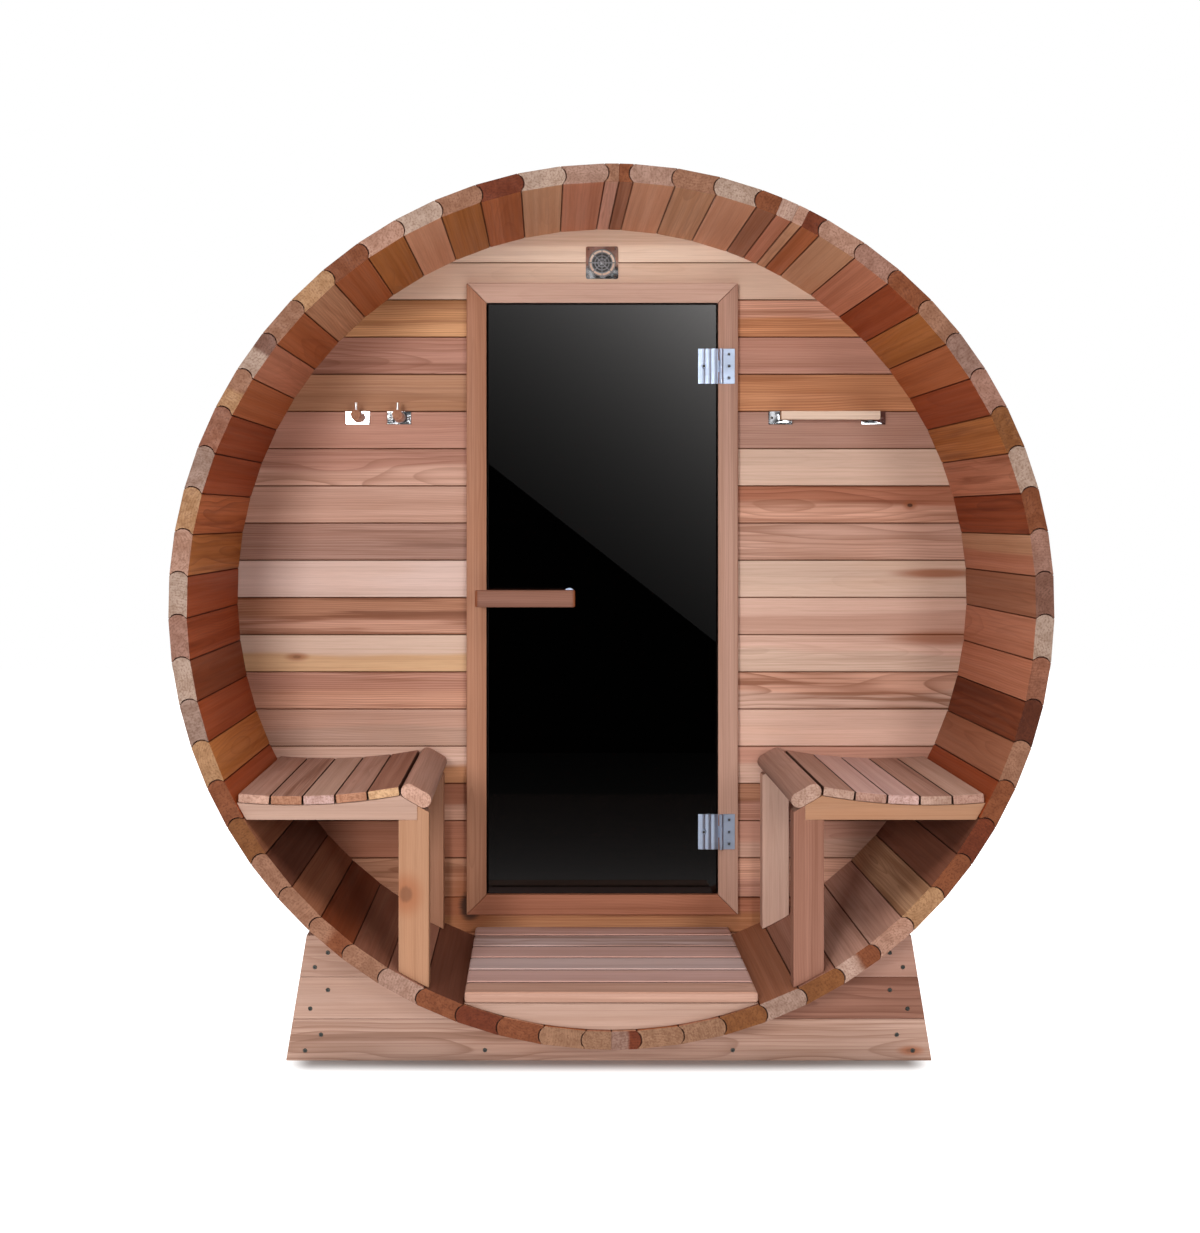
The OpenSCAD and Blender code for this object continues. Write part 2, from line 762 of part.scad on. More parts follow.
module towel_bar() {
    low = hook_z + towel_lift - towel_bar_w / 2;
    color("wheat") block(
        [towel_xs[0] - towel_bar_end, wall_y - towel_gap - towel_bar_w, low],
        [towel_xs[1] + towel_bar_end, wall_y - towel_gap, low + towel_bar_w]
    );
}

// Floor

// Boards that span the barrel from one Y to another: whole ones, with a ripped one at each end
module floor_boards(y0, y1) {
    step = floor_board_w + floor_gap;
    whole = floor((y1 - y0 - 2 * least_rip - floor_gap) / step);
    rip = (y1 - y0 - whole * step - floor_gap) / 2;
    for (i = [0:whole + 1]) {
        start = i == 0 ? y0 : y0 + rip + floor_gap + (i - 1) * step;
        width = i == 0 || i == whole + 1 ? rip : floor_board_w;
        block([-floor_half, start, floor_under_z], [floor_half, start + width, floor_z]);
    }
}

module porch_floor_boards() {
    color("rosybrown") floor_boards(rim_y + floor_front_inset, wall_y - floor_gap);
}

module cabin_floor_boards() {
    color("rosybrown") floor_boards(wall_back_y + floor_gap, rear_wall_y - floor_gap);
}

// A bearer that fills the round under the floor
module floor_bearer(y) {
    intersection() {
        axis_cylinder(cavity_r, y, y + bearer_t);
        block([-outer_r, y - over, 0], [outer_r, y + bearer_t + over, floor_under_z]);
    }
}

// Bearers at even steps from one Y to another, with two rows of battens between them under the boards
module floor_frame(y0, y1, bearers) {
    step = (y1 - bearer_t - y0) / (bearers - 1);
    for (i = [0:bearers - 1]) floor_bearer(y0 + i * step);
    for (i = [1:bearers - 1], x = [-batten_x, batten_x])
        block([x - batten_w / 2, y0 + (i - 1) * step + bearer_t + hairline, floor_under_z - batten_h],
            [x + batten_w / 2, y0 + i * step - hairline, floor_under_z]);
}

module floor_bearers() {
    color("tan") {
        floor_frame(rim_y + floor_front_inset, wall_y - floor_gap, 2);
        floor_frame(wall_back_y + floor_gap, rear_wall_y - floor_gap, cabin_bearers);
    }
}

// Benches, drawn on the right and mirrored for the left

module bench_side(side) {
    if (side > 0) children();
    else mirror([1, 0, 0]) children();
}

// Everything above the underside of the nose, from the fit clearance up
module above_nose_underside() {
    translate([nose_x, nose_z]) rotate(nose_tilt)
        translate([-nose_w * 2, -nose_t / 2 - fit]) square([nose_w * 4, nose_w * 2]);
}

module cavity_outline() { translate([0, axis_z]) circle(cavity_r, $fn = large_fn); }

module bench_slats(side) {
    color("rosybrown") bench_side(side) upright(bench_y, bench_y + slat_l) intersection() {
        cavity_outline();
        for (i = [0:slat_count - 1])
            translate([dish_x, dish_z])
                rotate(-slat_start_angle + i * slat_step + slat_w / 2 / dish_r * 180 / PI)
                translate([-slat_w / 2, -slat_bottom_r]) square([slat_w, slat_t]);
    }
}

module bench_nose(side) {
    color("peru") bench_side(side) upright(bench_y, bench_y + slat_l)
        translate([nose_x, nose_z]) rotate(nose_tilt) {
            square([nose_core, nose_t], center = true);
            for (end = [-1, 1]) translate([end * nose_core / 2, 0]) circle(nose_t / 2);
        }
}

// Rails with a hollow top that the slats lie on
module bench_rails(side) {
    color("tan") bench_side(side) for (y = rail_ys) upright(y, y + rail_t) difference() {
        intersection() {
            cavity_outline();
            translate([rail_x, rail_z]) square([outer_r, rail_drop + nose_rise + nose_t]);
        }
        translate([dish_x, dish_z]) circle(dish_r, $fn = large_fn);
        above_nose_underside();
    }
}

// Legs that stand on the staves: the rail sits on a shoulder beside a tongue
module bench_legs(side) {
    color("burlywood") bench_side(side) for (y = rail_ys) upright(y, y + rail_t) difference() {
        intersection() {
            cavity_outline();
            union() {
                translate([leg_x, 0]) square([leg_w, rail_z]);
                translate([leg_x, 0]) square([tongue_w, nose_z]);
            }
        }
        above_nose_underside();
    }
}

module left_bench_slats() { bench_slats(-1); }
module left_bench_nose() { bench_nose(-1); }
module left_bench_rails() { bench_rails(-1); }
module left_bench_legs() { bench_legs(-1); }
module right_bench_slats() { bench_slats(1); }
module right_bench_nose() { bench_nose(1); }
module right_bench_rails() { bench_rails(1); }
module right_bench_legs() { bench_legs(1); }

// Cradles

// Stacked boards with leaning ends, cut out to the round of the barrel
module cradle(y) {
    slope = tan(cradle_lean);
    upright(y, y + cradle_t) difference() {
        for (i = [0:cradle_boards - 1]) {
            low = i * cradle_board_h;
            high = low + cradle_board_h - hairline;
            polygon([
                [-cradle_half + low * slope, low], [cradle_half - low * slope, low],
                [cradle_half - high * slope, high], [-cradle_half + high * slope, high]
            ]);
        }
        translate([0, axis_z]) circle(cradle_cut_r, $fn = large_fn);
    }
}

module front_cradle_boards() { color("tan") cradle(cradle_ys[0]); }
module rear_cradle_boards() { color("tan") cradle(cradle_ys[1]); }

// Upright cleats that tie the boards of a cradle together behind
module cradle_cleats() {
    color("sienna") for (y = cleat_ys) upright(y, y + cradle_t) difference() {
        for (side = [-1, 1])
            translate([side * (cleat_end - cleat_w / 2), cradle_h / 2])
                square([cleat_w, cradle_h - 2 * hairline], center = true);
        translate([0, axis_z]) circle(cradle_cut_r, $fn = large_fn);
    }
}

staves_keel();
staves_lower_left();
staves_left();
staves_upper_left();
staves_crown();
staves_upper_right();
staves_right();
staves_lower_right();
hoops();
hoop_tighteners();
front_wall_left();
front_wall_right();
front_wall_top();
front_wall_bottom();
rear_wall();
door_frame_left();
door_frame_right();
door_frame_head();
door_frame_sill();
door_glass();
door_handle();
inner_handle();
handle_standoffs();
glass_hinges();
frame_hinges();
vent_plate();
vent_grille();
robe_hook_plates();
robe_hook_pegs();
towel_bar_brackets();
towel_bar();
porch_floor_boards();
cabin_floor_boards();
floor_bearers();
left_bench_slats();
left_bench_nose();
left_bench_rails();
left_bench_legs();
right_bench_slats();
right_bench_nose();
right_bench_rails();
right_bench_legs();
front_cradle_boards();
rear_cradle_boards();
cradle_cleats();
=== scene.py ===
"""Dresses the barrel sauna: cedar boards, tinted glass door, bright fittings and a studio."""

import logging
import math
import random
from dataclasses import dataclass
from enum import Enum, IntEnum
from typing import Callable, Optional, Sequence, Union

import bmesh
import bpy
import numpy as np
from bmesh.types import BMEdge, BMesh, BMFace
from bpy.types import Material, Node, NodeSocket, Object, World
from mathutils import Color, Matrix, Vector


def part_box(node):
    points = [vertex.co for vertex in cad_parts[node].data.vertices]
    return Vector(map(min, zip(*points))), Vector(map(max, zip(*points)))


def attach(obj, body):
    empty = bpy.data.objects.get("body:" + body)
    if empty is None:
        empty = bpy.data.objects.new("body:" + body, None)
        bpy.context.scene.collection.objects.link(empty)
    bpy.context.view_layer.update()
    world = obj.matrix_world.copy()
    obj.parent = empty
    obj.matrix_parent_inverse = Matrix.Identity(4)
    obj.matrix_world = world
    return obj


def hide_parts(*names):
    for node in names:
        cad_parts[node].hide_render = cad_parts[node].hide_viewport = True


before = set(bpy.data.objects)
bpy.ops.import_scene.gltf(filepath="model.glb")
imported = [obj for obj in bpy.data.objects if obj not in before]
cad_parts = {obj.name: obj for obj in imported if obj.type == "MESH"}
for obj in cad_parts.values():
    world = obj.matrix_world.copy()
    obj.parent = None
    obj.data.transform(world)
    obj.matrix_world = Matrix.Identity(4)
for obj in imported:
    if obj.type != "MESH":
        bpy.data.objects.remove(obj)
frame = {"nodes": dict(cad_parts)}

log = logging.getLogger("sauna")

Pair = tuple[float, float]
Triple = tuple[float, float, float]
Colour = tuple[float, float, float, float]
Value = Union[float, Sequence[float], NodeSocket]

# Bodies of the frame
SAUNA = "sauna"
DOOR = "door"

# Places in the frame, in metres
RIM_Y = -1.2
AXIS_Z = 0.982
INNER_R = 0.877
OUTER_R = 0.915
WALL_Y = -0.7
CASING_Y = -0.72

# Directions
AXES = (Vector((1, 0, 0)), Vector((0, 1, 0)), Vector((0, 0, 1)))
FORWARD = Vector((0, -1, 0))
ZERO = (0.0, 0.0, 0.0)

# Mesh clean-up and rounding
MERGE = 1e-5
ON_CUT = 1e-6
FLAT_ANGLE = math.radians(0.1)
SHARP_ANGLE = math.radians(30)
SMOOTH_ANGLE = math.radians(20)
EASE_STEPS = 2
EASE_PROFILE = 0.5

# Share of boards with upright rings, and how squarely a face looks along the grain where it is end grain
UPRIGHT_SHARE = 0.5
END_GRAIN = 0.85

# How strong a board's figure is, by the mark after its tones, and the mark of flat rings
FLAT = "~"
FIGURES = {"!": 1.5, "+": 1.0, FLAT: 1.0, "-": 0.15}
COMMON_FIGURE = 0.5

# Slot of the bright fittings, plain colours and the highest value of a screen colour
BRIGHT = "bright_fittings"
WHITE = (1.0, 1.0, 1.0, 1.0)
BLACK = (0.0, 0.0, 0.0, 1.0)
SCREEN_FULL = 255


class Shade(IntEnum):
    """Shade of a face: plain, soft or dark seam shade, a near-black painted shadow, or a painted highlight.
    """

    PLAIN = 0
    SOFT = 1
    DARK = 2
    SEALED = 3
    WORN = 4


# Face layer that holds the shades, and what each of them multiplies a tone by
SEAM = "seam"
# Soft: dirt and painted shade in joints. Dark: painted shade in gaps. Then painted shadow and painted
# highlight
SHADES = np.array(
    [[1.0, 1.0, 1.0], [0.38, 0.3, 0.25], [0.14, 0.1, 0.085], [0.02, 0.015, 0.014], [1.3, 1.24, 1.2]]
)


class Tone(Enum):
    """Cedar tones, as screen colours from 0 to 255."""

    IVORY = (228, 204, 184)
    BLUSH = (204, 176, 165)
    SHELL = (198, 169, 151)
    CREAM = (208, 180, 160)
    PALE = (203, 167, 150)
    PEACH = (197, 150, 128)
    STRAW = (200, 160, 122)
    GOLD = (196, 148, 106)
    FAWN = (188, 148, 130)
    ROSE = (178, 131, 113)
    TAN = (172, 122, 95)
    HONEY = (188, 132, 94)
    OCHRE = (166, 122, 93)
    TAUPE = (165, 127, 112)
    ASH = (187, 152, 144)
    SAND = (175, 142, 126)
    DRIFT = (181, 158, 154)
    RUSSET = (163, 105, 80)
    OLIVE = (170, 132, 102)
    SIENNA = (148, 83, 48)
    BRONZE = (146, 89, 44)
    UMBER = (142, 98, 81)
    CLAY = (136, 87, 63)
    CHESTNUT = (126, 57, 27)
    COCOA = (118, 74, 57)
    MAHOGANY = (104, 49, 25)
    WALNUT = (96, 57, 43)

    @property
    def linear(self) -> Colour:
        """The tone as a linear colour with full alpha."""
        red, green, blue = Color([part / SCREEN_FULL for part in self.value]).from_srgb_to_scene_linear()
        return (red, green, blue, 1.0)


@dataclass(frozen=True)
class Stock:
    """A board's cedar: the tones of its lower and upper half, its figure and whether its rings lie flat."""

    lower: Tone
    upper: Tone
    figure: float
    flat: bool

    @classmethod
    def read(cls, word: str) -> "Stock":
        """Reads a word of tones, from the lower half up, and the mark of a figure, such as TAN/ROSE+."""
        names = word.rstrip("".join(FIGURES)).split("/")
        return cls(Tone[names[0]], Tone[names[-1]], FIGURES.get(word[-1], COMMON_FIGURE), word[-1] == FLAT)


class NodeSheet:
    """Adds and joins the nodes of a material or of the world."""

    def __init__(self, owner: Union[Material, World]) -> None:
        """Starts on the nodes that come with a material or world.

        Args:
            owner: The material or world.
        """
        owner.use_nodes = True
        self.owner = owner
        self.tree = owner.node_tree

    def feed(self, socket: NodeSocket, value: Value) -> None:
        """Joins a socket to another, or sets its value.

        Args:
            socket: Input socket.
            value: Output socket, number or list of numbers.
        """
        if isinstance(value, NodeSocket):
            self.tree.links.new(value, socket)
        else:
            socket.default_value = value

    def add(self, kind: str, values: Sequence[Value] = (), **settings: object) -> Node:
        """Adds a node.

        Args:
            kind: Node type.
            values: What its first inputs are fed with, in order.
            **settings: Properties of the node.

        Returns:
            The new node.
        """
        node = self.tree.nodes.new(kind)
        for key, setting in settings.items():
            setattr(node, key, setting)
        for socket, value in zip(node.inputs, values):
            self.feed(socket, value)
        return node

    def set(self, name: str, value: Value) -> None:
        """Feeds one input of the principled shader."""
        self.feed(self.tree.nodes["Principled BSDF"].inputs[name], value)

    def math(self, operation: str, first: Value, second: Value = 0.0) -> NodeSocket:
        """Works out a number from one or two others."""
        return self.add("ShaderNodeMath", (first, second), operation=operation).outputs[0]

    def times(self, first: Value, second: Value) -> NodeSocket:
        """Multiplies two numbers."""
        return self.math("MULTIPLY", first, second)

    def vector(self, operation: str, first: Value, second: Value = ZERO, out: str = "Vector") -> NodeSocket:
        """Works out a vector, or a number at output Value, from one or two vectors."""
        return self.add("ShaderNodeVectorMath", (first, second), operation=operation).outputs[out]

    def length(self, vector: Value) -> NodeSocket:
        """Measures a vector."""
        return self.vector("LENGTH", vector, out="Value")

    def noise(self, place: NodeSocket, stretch: Sequence[float], detail: float = 2.0) -> NodeSocket:
        """Adds a noise texture on stretched coordinates.

        Args:
            place: Coordinates in metres.
            stretch: Features per metre along each coordinate.
            detail: Octaves of finer noise.

        Returns:
            The noise, from 0 to 1.
        """
        node = self.add("ShaderNodeTexNoise")
        self.feed(node.inputs["Vector"], self.vector("MULTIPLY", place, stretch))
        node.inputs["Scale"].default_value = 1.0
        node.inputs["Detail"].default_value = detail
        return node.outputs[0]

    def span(
        self, value: Value, low: float, high: float, start: float = 0.0, end: float = 1.0,
        kind: str = "SMOOTHSTEP",
    ) -> NodeSocket:
        """Maps the range from low to high onto the one from start to end, smoothly or by another kind."""
        values = (value, low, high, start, end)
        return self.add("ShaderNodeMapRange", values, interpolation_type=kind).outputs[0]

    def mix(self, share: Value, first: Value, second: Value, blend: str = "MIX") -> NodeSocket:
        """Mixes two colours.

        Args:
            share: Share of the second colour.
            first: First colour.
            second: Second colour.
            blend: How they blend.

        Returns:
            The mixed colour.
        """
        node = self.add("ShaderNodeMix", data_type="RGBA", blend_type=blend)
        self.feed(node.inputs["Factor"], share)
        self.feed(node.inputs[6], first)
        self.feed(node.inputs[7], second)
        return node.outputs[2]

    def tint(self, colour: Value, tint: Colour) -> NodeSocket:
        """Multiplies a colour by another."""
        return self.mix(1.0, colour, tint, "MULTIPLY")

    def attribute(self, name: str, output: str) -> NodeSocket:
        """Reads an attribute of the mesh through one of the node's outputs."""
        return self.add("ShaderNodeAttribute", attribute_name=name).outputs[output]

    def place(self) -> NodeSocket:
        """The Object coordinates."""
        return self.add("ShaderNodeTexCoord").outputs["Object"]

    def bump(self, height: NodeSocket, strength: float, depth: float) -> None:
        """Gives the shader a bump.

        Args:
            height: Height from 0 to 1.
            strength: Strength of the bump.
            depth: Height of the bump in metres.
        """
        node = self.add("ShaderNodeBump")
        node.inputs["Strength"].default_value = strength
        node.inputs["Distance"].default_value = depth
        self.feed(node.inputs["Height"], height)
        self.set("Normal", node.outputs["Normal"])


@dataclass(frozen=True)
class Knot:
    """A knot or stain in the face of a board: its place, radius, flattening along each axis and depths.

    The spans of its halo and core are in radii, from the outside in.
    """

    place: Triple
    radius: float
    stretch: Triple
    heart: float = 0.85
    halo: float = 0.7
    ragged: float = 0.5
    halo_span: Pair = (3.2, 1.1)
    core_span: Pair = (1.3, 0.8)
    core: Colour = (0.045, 0.018, 0.01, 1.0)

    def paint(self, sheet: NodeSheet, colour: NodeSocket, fibre: NodeSocket) -> NodeSocket:
        """Darkens a colour round the knot.

        Args:
            sheet: Material that is being made.
            colour: Colour so far.
            fibre: Noise that roughens the knot's outline.

        Returns:
            The colour with the knot in it.
        """
        offset = sheet.vector("SUBTRACT", sheet.place(), self.place)
        reach = sheet.length(sheet.vector("MULTIPLY", offset, self.stretch))
        ragged = sheet.math("ADD", reach, sheet.times(fibre, self.radius * self.ragged))
        layers = ((Tone.SIENNA.linear, self.halo_span, self.halo), (self.core, self.core_span, self.heart))
        for tone, (far, near), depth in layers:
            share = sheet.span(ragged, self.radius * far, self.radius * near, 0.0, depth)
            colour = sheet.mix(share, colour, tone)
        return colour


@dataclass(frozen=True)
class Grain:
    """Noise that follows the grain: features per metre along and across it, octaves and span of its mask."""

    along: float
    across: float
    octaves: float
    span: Pair = (0.0, 1.0)

    def noise(self, sheet: NodeSheet, place: NodeSocket) -> NodeSocket:
        """Adds the noise to a material."""
        return sheet.noise(place, (self.along, self.across, self.across), self.octaves)


@dataclass(frozen=True)
class Cedar:
    """Sawn cedar whose rings, streaks and tones follow each board."""

    slot: str
    knots: tuple[Knot, ...] = ()
    wander: Grain = Grain(1.6, 7.0, 2.0)
    streak: Grain = Grain(0.8, 48.0, 4.0, (0.36, 0.62))
    line: Grain = Grain(2.2, 230.0, 3.0, (0.47, 0.66))
    flare: Grain = Grain(1.5, 42.0, 4.0, (0.5, 0.66))
    fibre: Grain = Grain(16.0, 620.0, 2.0, (0.4, 0.75))
    blotch: Grain = Grain(3.0, 11.0, 3.0, (0.5, 0.72))
    dark: Colour = (0.63, 0.54, 0.48, 1.0)
    pale: Colour = (1.16, 1.17, 1.18, 1.0)
    burnt: Colour = (0.47, 0.35, 0.28, 1.0)
    warm: Colour = (0.98, 0.84, 0.7, 1.0)
    band_wander: float = 1.6
    band_span: Pair = (0.66, 0.94)
    ring: float = 0.0055
    ring_wander: float = 0.045
    ring_rise: float = 3.0
    ring_fall: float = 0.93
    ring_fade: Colour = (0.35, 0.65, 0.45, 1.0)
    ring_depth: float = 0.85
    end_ring_depth: float = 0.55
    quiet_share: float = 0.4
    streak_depth: float = 0.3
    end_streak_depth: float = 0.4
    line_depth: float = 0.6
    pore_depth: float = 0.26
    pore_span: Pair = (0.5, 0.62)
    flare_depth: float = 0.7
    blush: float = 0.22
    fibre_depth: float = 0.2
    specular: float = 0.22
    rough_span: Pair = (0.3, 0.7)
    roughness: Pair = (0.68, 0.48)
    relief: Pair = (0.6, 0.4)
    bump_strength: float = 0.25
    bump_depth: float = 0.0006

    def material(self) -> Material:
        """Makes the material.

        Returns:
            The cedar material.
        """
        sheet = NodeSheet(bpy.data.materials.new(self.slot))
        grain = sheet.attribute("grain", "Vector")
        figure = sheet.attribute("figure", "Fac")
        end = sheet.attribute("end", "Fac")
        noises = (self.wander, self.streak, self.line, self.flare, self.fibre, self.blotch)
        wander, streak, line, flare, fibre, blotch = [noise.noise(sheet, grain) for noise in noises]

        band = sheet.math("ADD", sheet.attribute("band", "Fac"), sheet.times(wander, self.band_wander))
        tones = [sheet.attribute(name, "Color") for name in ("tone_a", "tone_b")]
        tone = sheet.mix(sheet.span(band, *self.band_span), *tones)
        dark, pale, burnt = [sheet.tint(tone, tint) for tint in (self.dark, self.pale, self.burnt)]
        lively = sheet.times(sheet.math("SUBTRACT", 1.0, end), figure)

        radius = sheet.length(sheet.vector("MULTIPLY", grain, (0.0, 1.0, 1.0)))
        warped = sheet.math("ADD", radius, sheet.times(wander, self.ring_wander))
        turns = sheet.math("FRACT", sheet.math("DIVIDE", warped, self.ring))
        late = sheet.times(sheet.math("POWER", turns, self.ring_rise), sheet.span(turns, 1.0, self.ring_fall))
        late = sheet.times(late, sheet.span(blotch, *self.ring_fade))

        colour = sheet.mix(sheet.span(streak, *self.streak.span), dark, pale)
        streaks = sheet.span(lively, 0.0, 1.0, self.streak_depth * self.quiet_share, self.streak_depth)
        streaks = sheet.math("MAXIMUM", streaks, sheet.times(end, self.end_streak_depth))
        colour = sheet.mix(streaks, tone, colour)
        rings = sheet.math("ADD", sheet.times(lively, self.ring_depth), sheet.times(end, self.end_ring_depth))
        colour = sheet.mix(sheet.times(late, rings), colour, burnt)
        shown = sheet.math("ADD", figure, end)
        lines = sheet.span(shown, 0.0, 1.0, self.line_depth * self.quiet_share, self.line_depth)
        colour = sheet.mix(sheet.times(sheet.span(line, *self.line.span), lines), colour, dark)
        pores = sheet.times(end, self.pore_depth)
        colour = sheet.mix(sheet.times(sheet.span(line, *self.pore_span), pores), colour, burnt)
        flames = sheet.times(sheet.times(lively, figure), self.flare_depth)
        colour = sheet.mix(sheet.times(sheet.span(flare, *self.flare.span), flames), colour, burnt)
        blushes = sheet.span(blotch, *self.blotch.span, 0.0, self.blush)
        colour = sheet.mix(blushes, colour, sheet.tint(colour, self.warm))
        colour = sheet.mix(sheet.span(fibre, *self.fibre.span, 0.0, self.fibre_depth), colour, dark)
        for knot in self.knots:
            colour = knot.paint(sheet, colour, fibre)
        sheet.set("Base Color", colour)
        sheet.set("Roughness", sheet.span(streak, *self.rough_span, *self.roughness))
        sheet.set("Specular IOR Level", self.specular)
        height = sheet.math("ADD", sheet.times(fibre, self.relief[0]), sheet.times(late, self.relief[1]))
        sheet.bump(height, self.bump_strength, self.bump_depth)
        return sheet.owner


@dataclass(frozen=True)
class Metal:
    """A bare metal with fine brush marks or smudges."""

    slot: str
    colour: Triple
    roughness: Pair
    brush: Triple = (60.0, 60.0, 60.0)
    depth: float = 0.0
    brush_octaves: float = 3.0
    brush_span: Pair = (0.3, 0.7)
    smudge: Triple = (18.0, 18.0, 18.0)
    smudge_span: Pair = (0.4, 0.75)
    wear: float = 0.82
    bump_strength: float = 0.2

    def material(self) -> Material:
        """Makes the material.

        Returns:
            The metal material.
        """
        sheet = NodeSheet(bpy.data.materials.new(self.slot))
        place = sheet.place()
        marks = sheet.noise(place, self.brush, self.brush_octaves)
        smudge = sheet.span(sheet.noise(place, self.smudge), *self.smudge_span)
        worn = tuple(part * self.wear for part in self.colour) + (1.0,)
        sheet.set("Base Color", sheet.mix(smudge, self.colour + (1.0,), worn))
        sheet.set("Metallic", 1.0)
        sheet.set("Roughness", sheet.span(marks, *self.brush_span, *self.roughness))
        if self.depth > 0:
            sheet.bump(marks, self.bump_strength, self.depth)
        return sheet.owner


@dataclass(frozen=True)
class TintedGlass:
    """Dark tinted safety glass."""

    slot: str
    tint: Colour = (0.03, 0.018, 0.015, 1.0)
    ior: float = 1.5
    haze: Triple = (5.0, 5.0, 3.0)
    haze_octaves: float = 3.0
    haze_span: Pair = (0.45, 0.8)
    roughness: Pair = (0.0, 0.02)

    def material(self) -> Material:
        """Makes the material.

        Returns:
            The glass material.
        """
        sheet = NodeSheet(bpy.data.materials.new(self.slot))
        haze = sheet.noise(sheet.place(), self.haze, self.haze_octaves)
        sheet.set("Base Color", self.tint)
        sheet.set("Transmission Weight", 1.0)
        sheet.set("IOR", self.ior)
        sheet.set("Roughness", sheet.span(haze, *self.haze_span, *self.roughness))
        return sheet.owner


@dataclass(frozen=True)
class Recess:
    """Near-black painted shade, inside a screw's socket and on the disc behind the vent's rings."""

    slot: str
    speck: Triple = (900.0, 900.0, 900.0)
    dark: Colour = (0.02, 0.02, 0.022, 1.0)
    pale_speck: Colour = (0.06, 0.058, 0.055, 1.0)
    roughness: float = 0.7

    def material(self) -> Material:
        """Makes the material.

        Returns:
            The dark material.
        """
        sheet = NodeSheet(bpy.data.materials.new(self.slot + "_recess"))
        sheet.set("Base Color", sheet.mix(sheet.noise(sheet.place(), self.speck), self.dark, self.pale_speck))
        sheet.set("Roughness", self.roughness)
        return sheet.owner


Finish = Union[Cedar, Metal, TintedGlass, Recess]


class Finishes:
    """The finishes of the sauna, each made once."""

    staves = Cedar("stave_cedar")
    walls = Cedar(
        "wall_cedar",
        (
            Knot((0.741, WALL_Y, 1.196), 0.0055, (0.7, 1.0, 1.0)),
            Knot((-0.734, WALL_Y, 0.831), 0.0045, (0.35, 1.0, 1.0), 0.35, 0.65),
            Knot((-0.317, WALL_Y, 0.23), 0.032, (1.0, 1.0, 0.78), 0.9),
            Knot((0.812, WALL_Y, 1.032), 0.0045, (0.09, 1.0, 0.8), 0.0, 0.8),
            Knot((0.82, WALL_Y, 0.876), 0.006, (0.1, 1.0, 0.7), 0.0, 0.7),
        ),
    )
    frame = Cedar("frame_cedar")
    grip = Cedar(
        "frame_cedar",
        # These knots darken a band round both ends of each handle
        tuple(Knot((x, 0.0, 0.0), 0.0024, (1.0, 0.0, 0.0), 0.0, 0.85) for x in (-0.302, -0.066)),
    )
    floor = Cedar("floor_cedar")
    bench = Cedar("bench_cedar", (Knot((-0.425, -1.192, 0.386), 0.0165, (1.0, 1.0, 0.8), 0.4, 0.6),))
    cradle = Cedar("cradle_cedar", (Knot((0.648, -1.08, 0.022), 0.0045, (0.35, 1.0, 0.9), 0.3),))
    glass = TintedGlass("tinted_glass")
    chrome = Metal(BRIGHT, (0.82, 0.84, 0.87), (0.04, 0.12))
    rings = Metal(BRIGHT, (0.2, 0.2, 0.21), (0.3, 0.45))
    brackets = Metal(BRIGHT, (0.36, 0.37, 0.39), (0.06, 0.14))
    pins = Metal(BRIGHT, (0.95, 0.95, 0.96), (0.4, 0.5))
    hinges = Metal("hinge_metal", (0.53, 0.63, 0.8), (0.46, 0.58), (30.0, 30.0, 900.0), 0.00005)
    hoops = Metal("hoop_steel", (0.6, 0.6, 0.61), (0.26, 0.42), (6.0, 700.0, 6.0), 0.00005)
    screws = Metal("hoop_steel", (0.2, 0.21, 0.19), (0.4, 0.6), (90.0, 90.0, 90.0))
    made: dict[Finish, Material] = {}

    @classmethod
    def of(cls, finish: Finish) -> Material:
        """Gives a finish's material, and makes it on its first use.

        Args:
            finish: One of the finishes.

        Returns:
            Its material.
        """
        if finish not in cls.made:
            cls.made[finish] = finish.material()
        return cls.made[finish]


def node_islands(node: str) -> list[BMesh]:
    """Copies a CAD node, merges its loose triangles and parts it into its solids.

    Args:
        node: Name of the node.

    Returns:
        One mesh for each solid.
    """
    whole = bmesh.new()
    whole.from_mesh(frame["nodes"][node].data)
    whole.faces.layers.int.new(SEAM)
    bmesh.ops.remove_doubles(whole, verts=whole.verts, dist=MERGE)
    bmesh.ops.dissolve_limit(
        whole, angle_limit=FLAT_ANGLE, use_dissolve_boundaries=False, verts=whole.verts, edges=whole.edges
    )
    whole.verts.index_update()
    island = [-1] * len(whole.verts)
    count = 0
    for start in whole.verts:
        if island[start.index] >= 0:
            continue
        island[start.index] = count
        waiting = [start]
        while waiting:
            vert = waiting.pop()
            for edge in vert.link_edges:
                other = edge.other_vert(vert)
                if island[other.index] < 0:
                    island[other.index] = count
                    waiting.append(other)
        count += 1
    parts = []
    for number in range(count):
        part = whole.copy()
        part.verts.ensure_lookup_table()
        others = [part.verts[i] for i, owner in enumerate(island) if owner != number]
        bmesh.ops.delete(part, geom=others, context="VERTS")
        parts.append(part)
    whole.free()
    return parts


def mark_seam(bm: BMesh, faces: Sequence[BMFace], shade: Shade = Shade.SOFT) -> None:
    """Gives faces a shade.

    Args:
        bm: Mesh of the faces.
        faces: Faces to mark.
        shade: Their shade.
    """
    layer = bm.faces.layers.int[SEAM]
    for face in faces:
        face[layer] = int(shade)


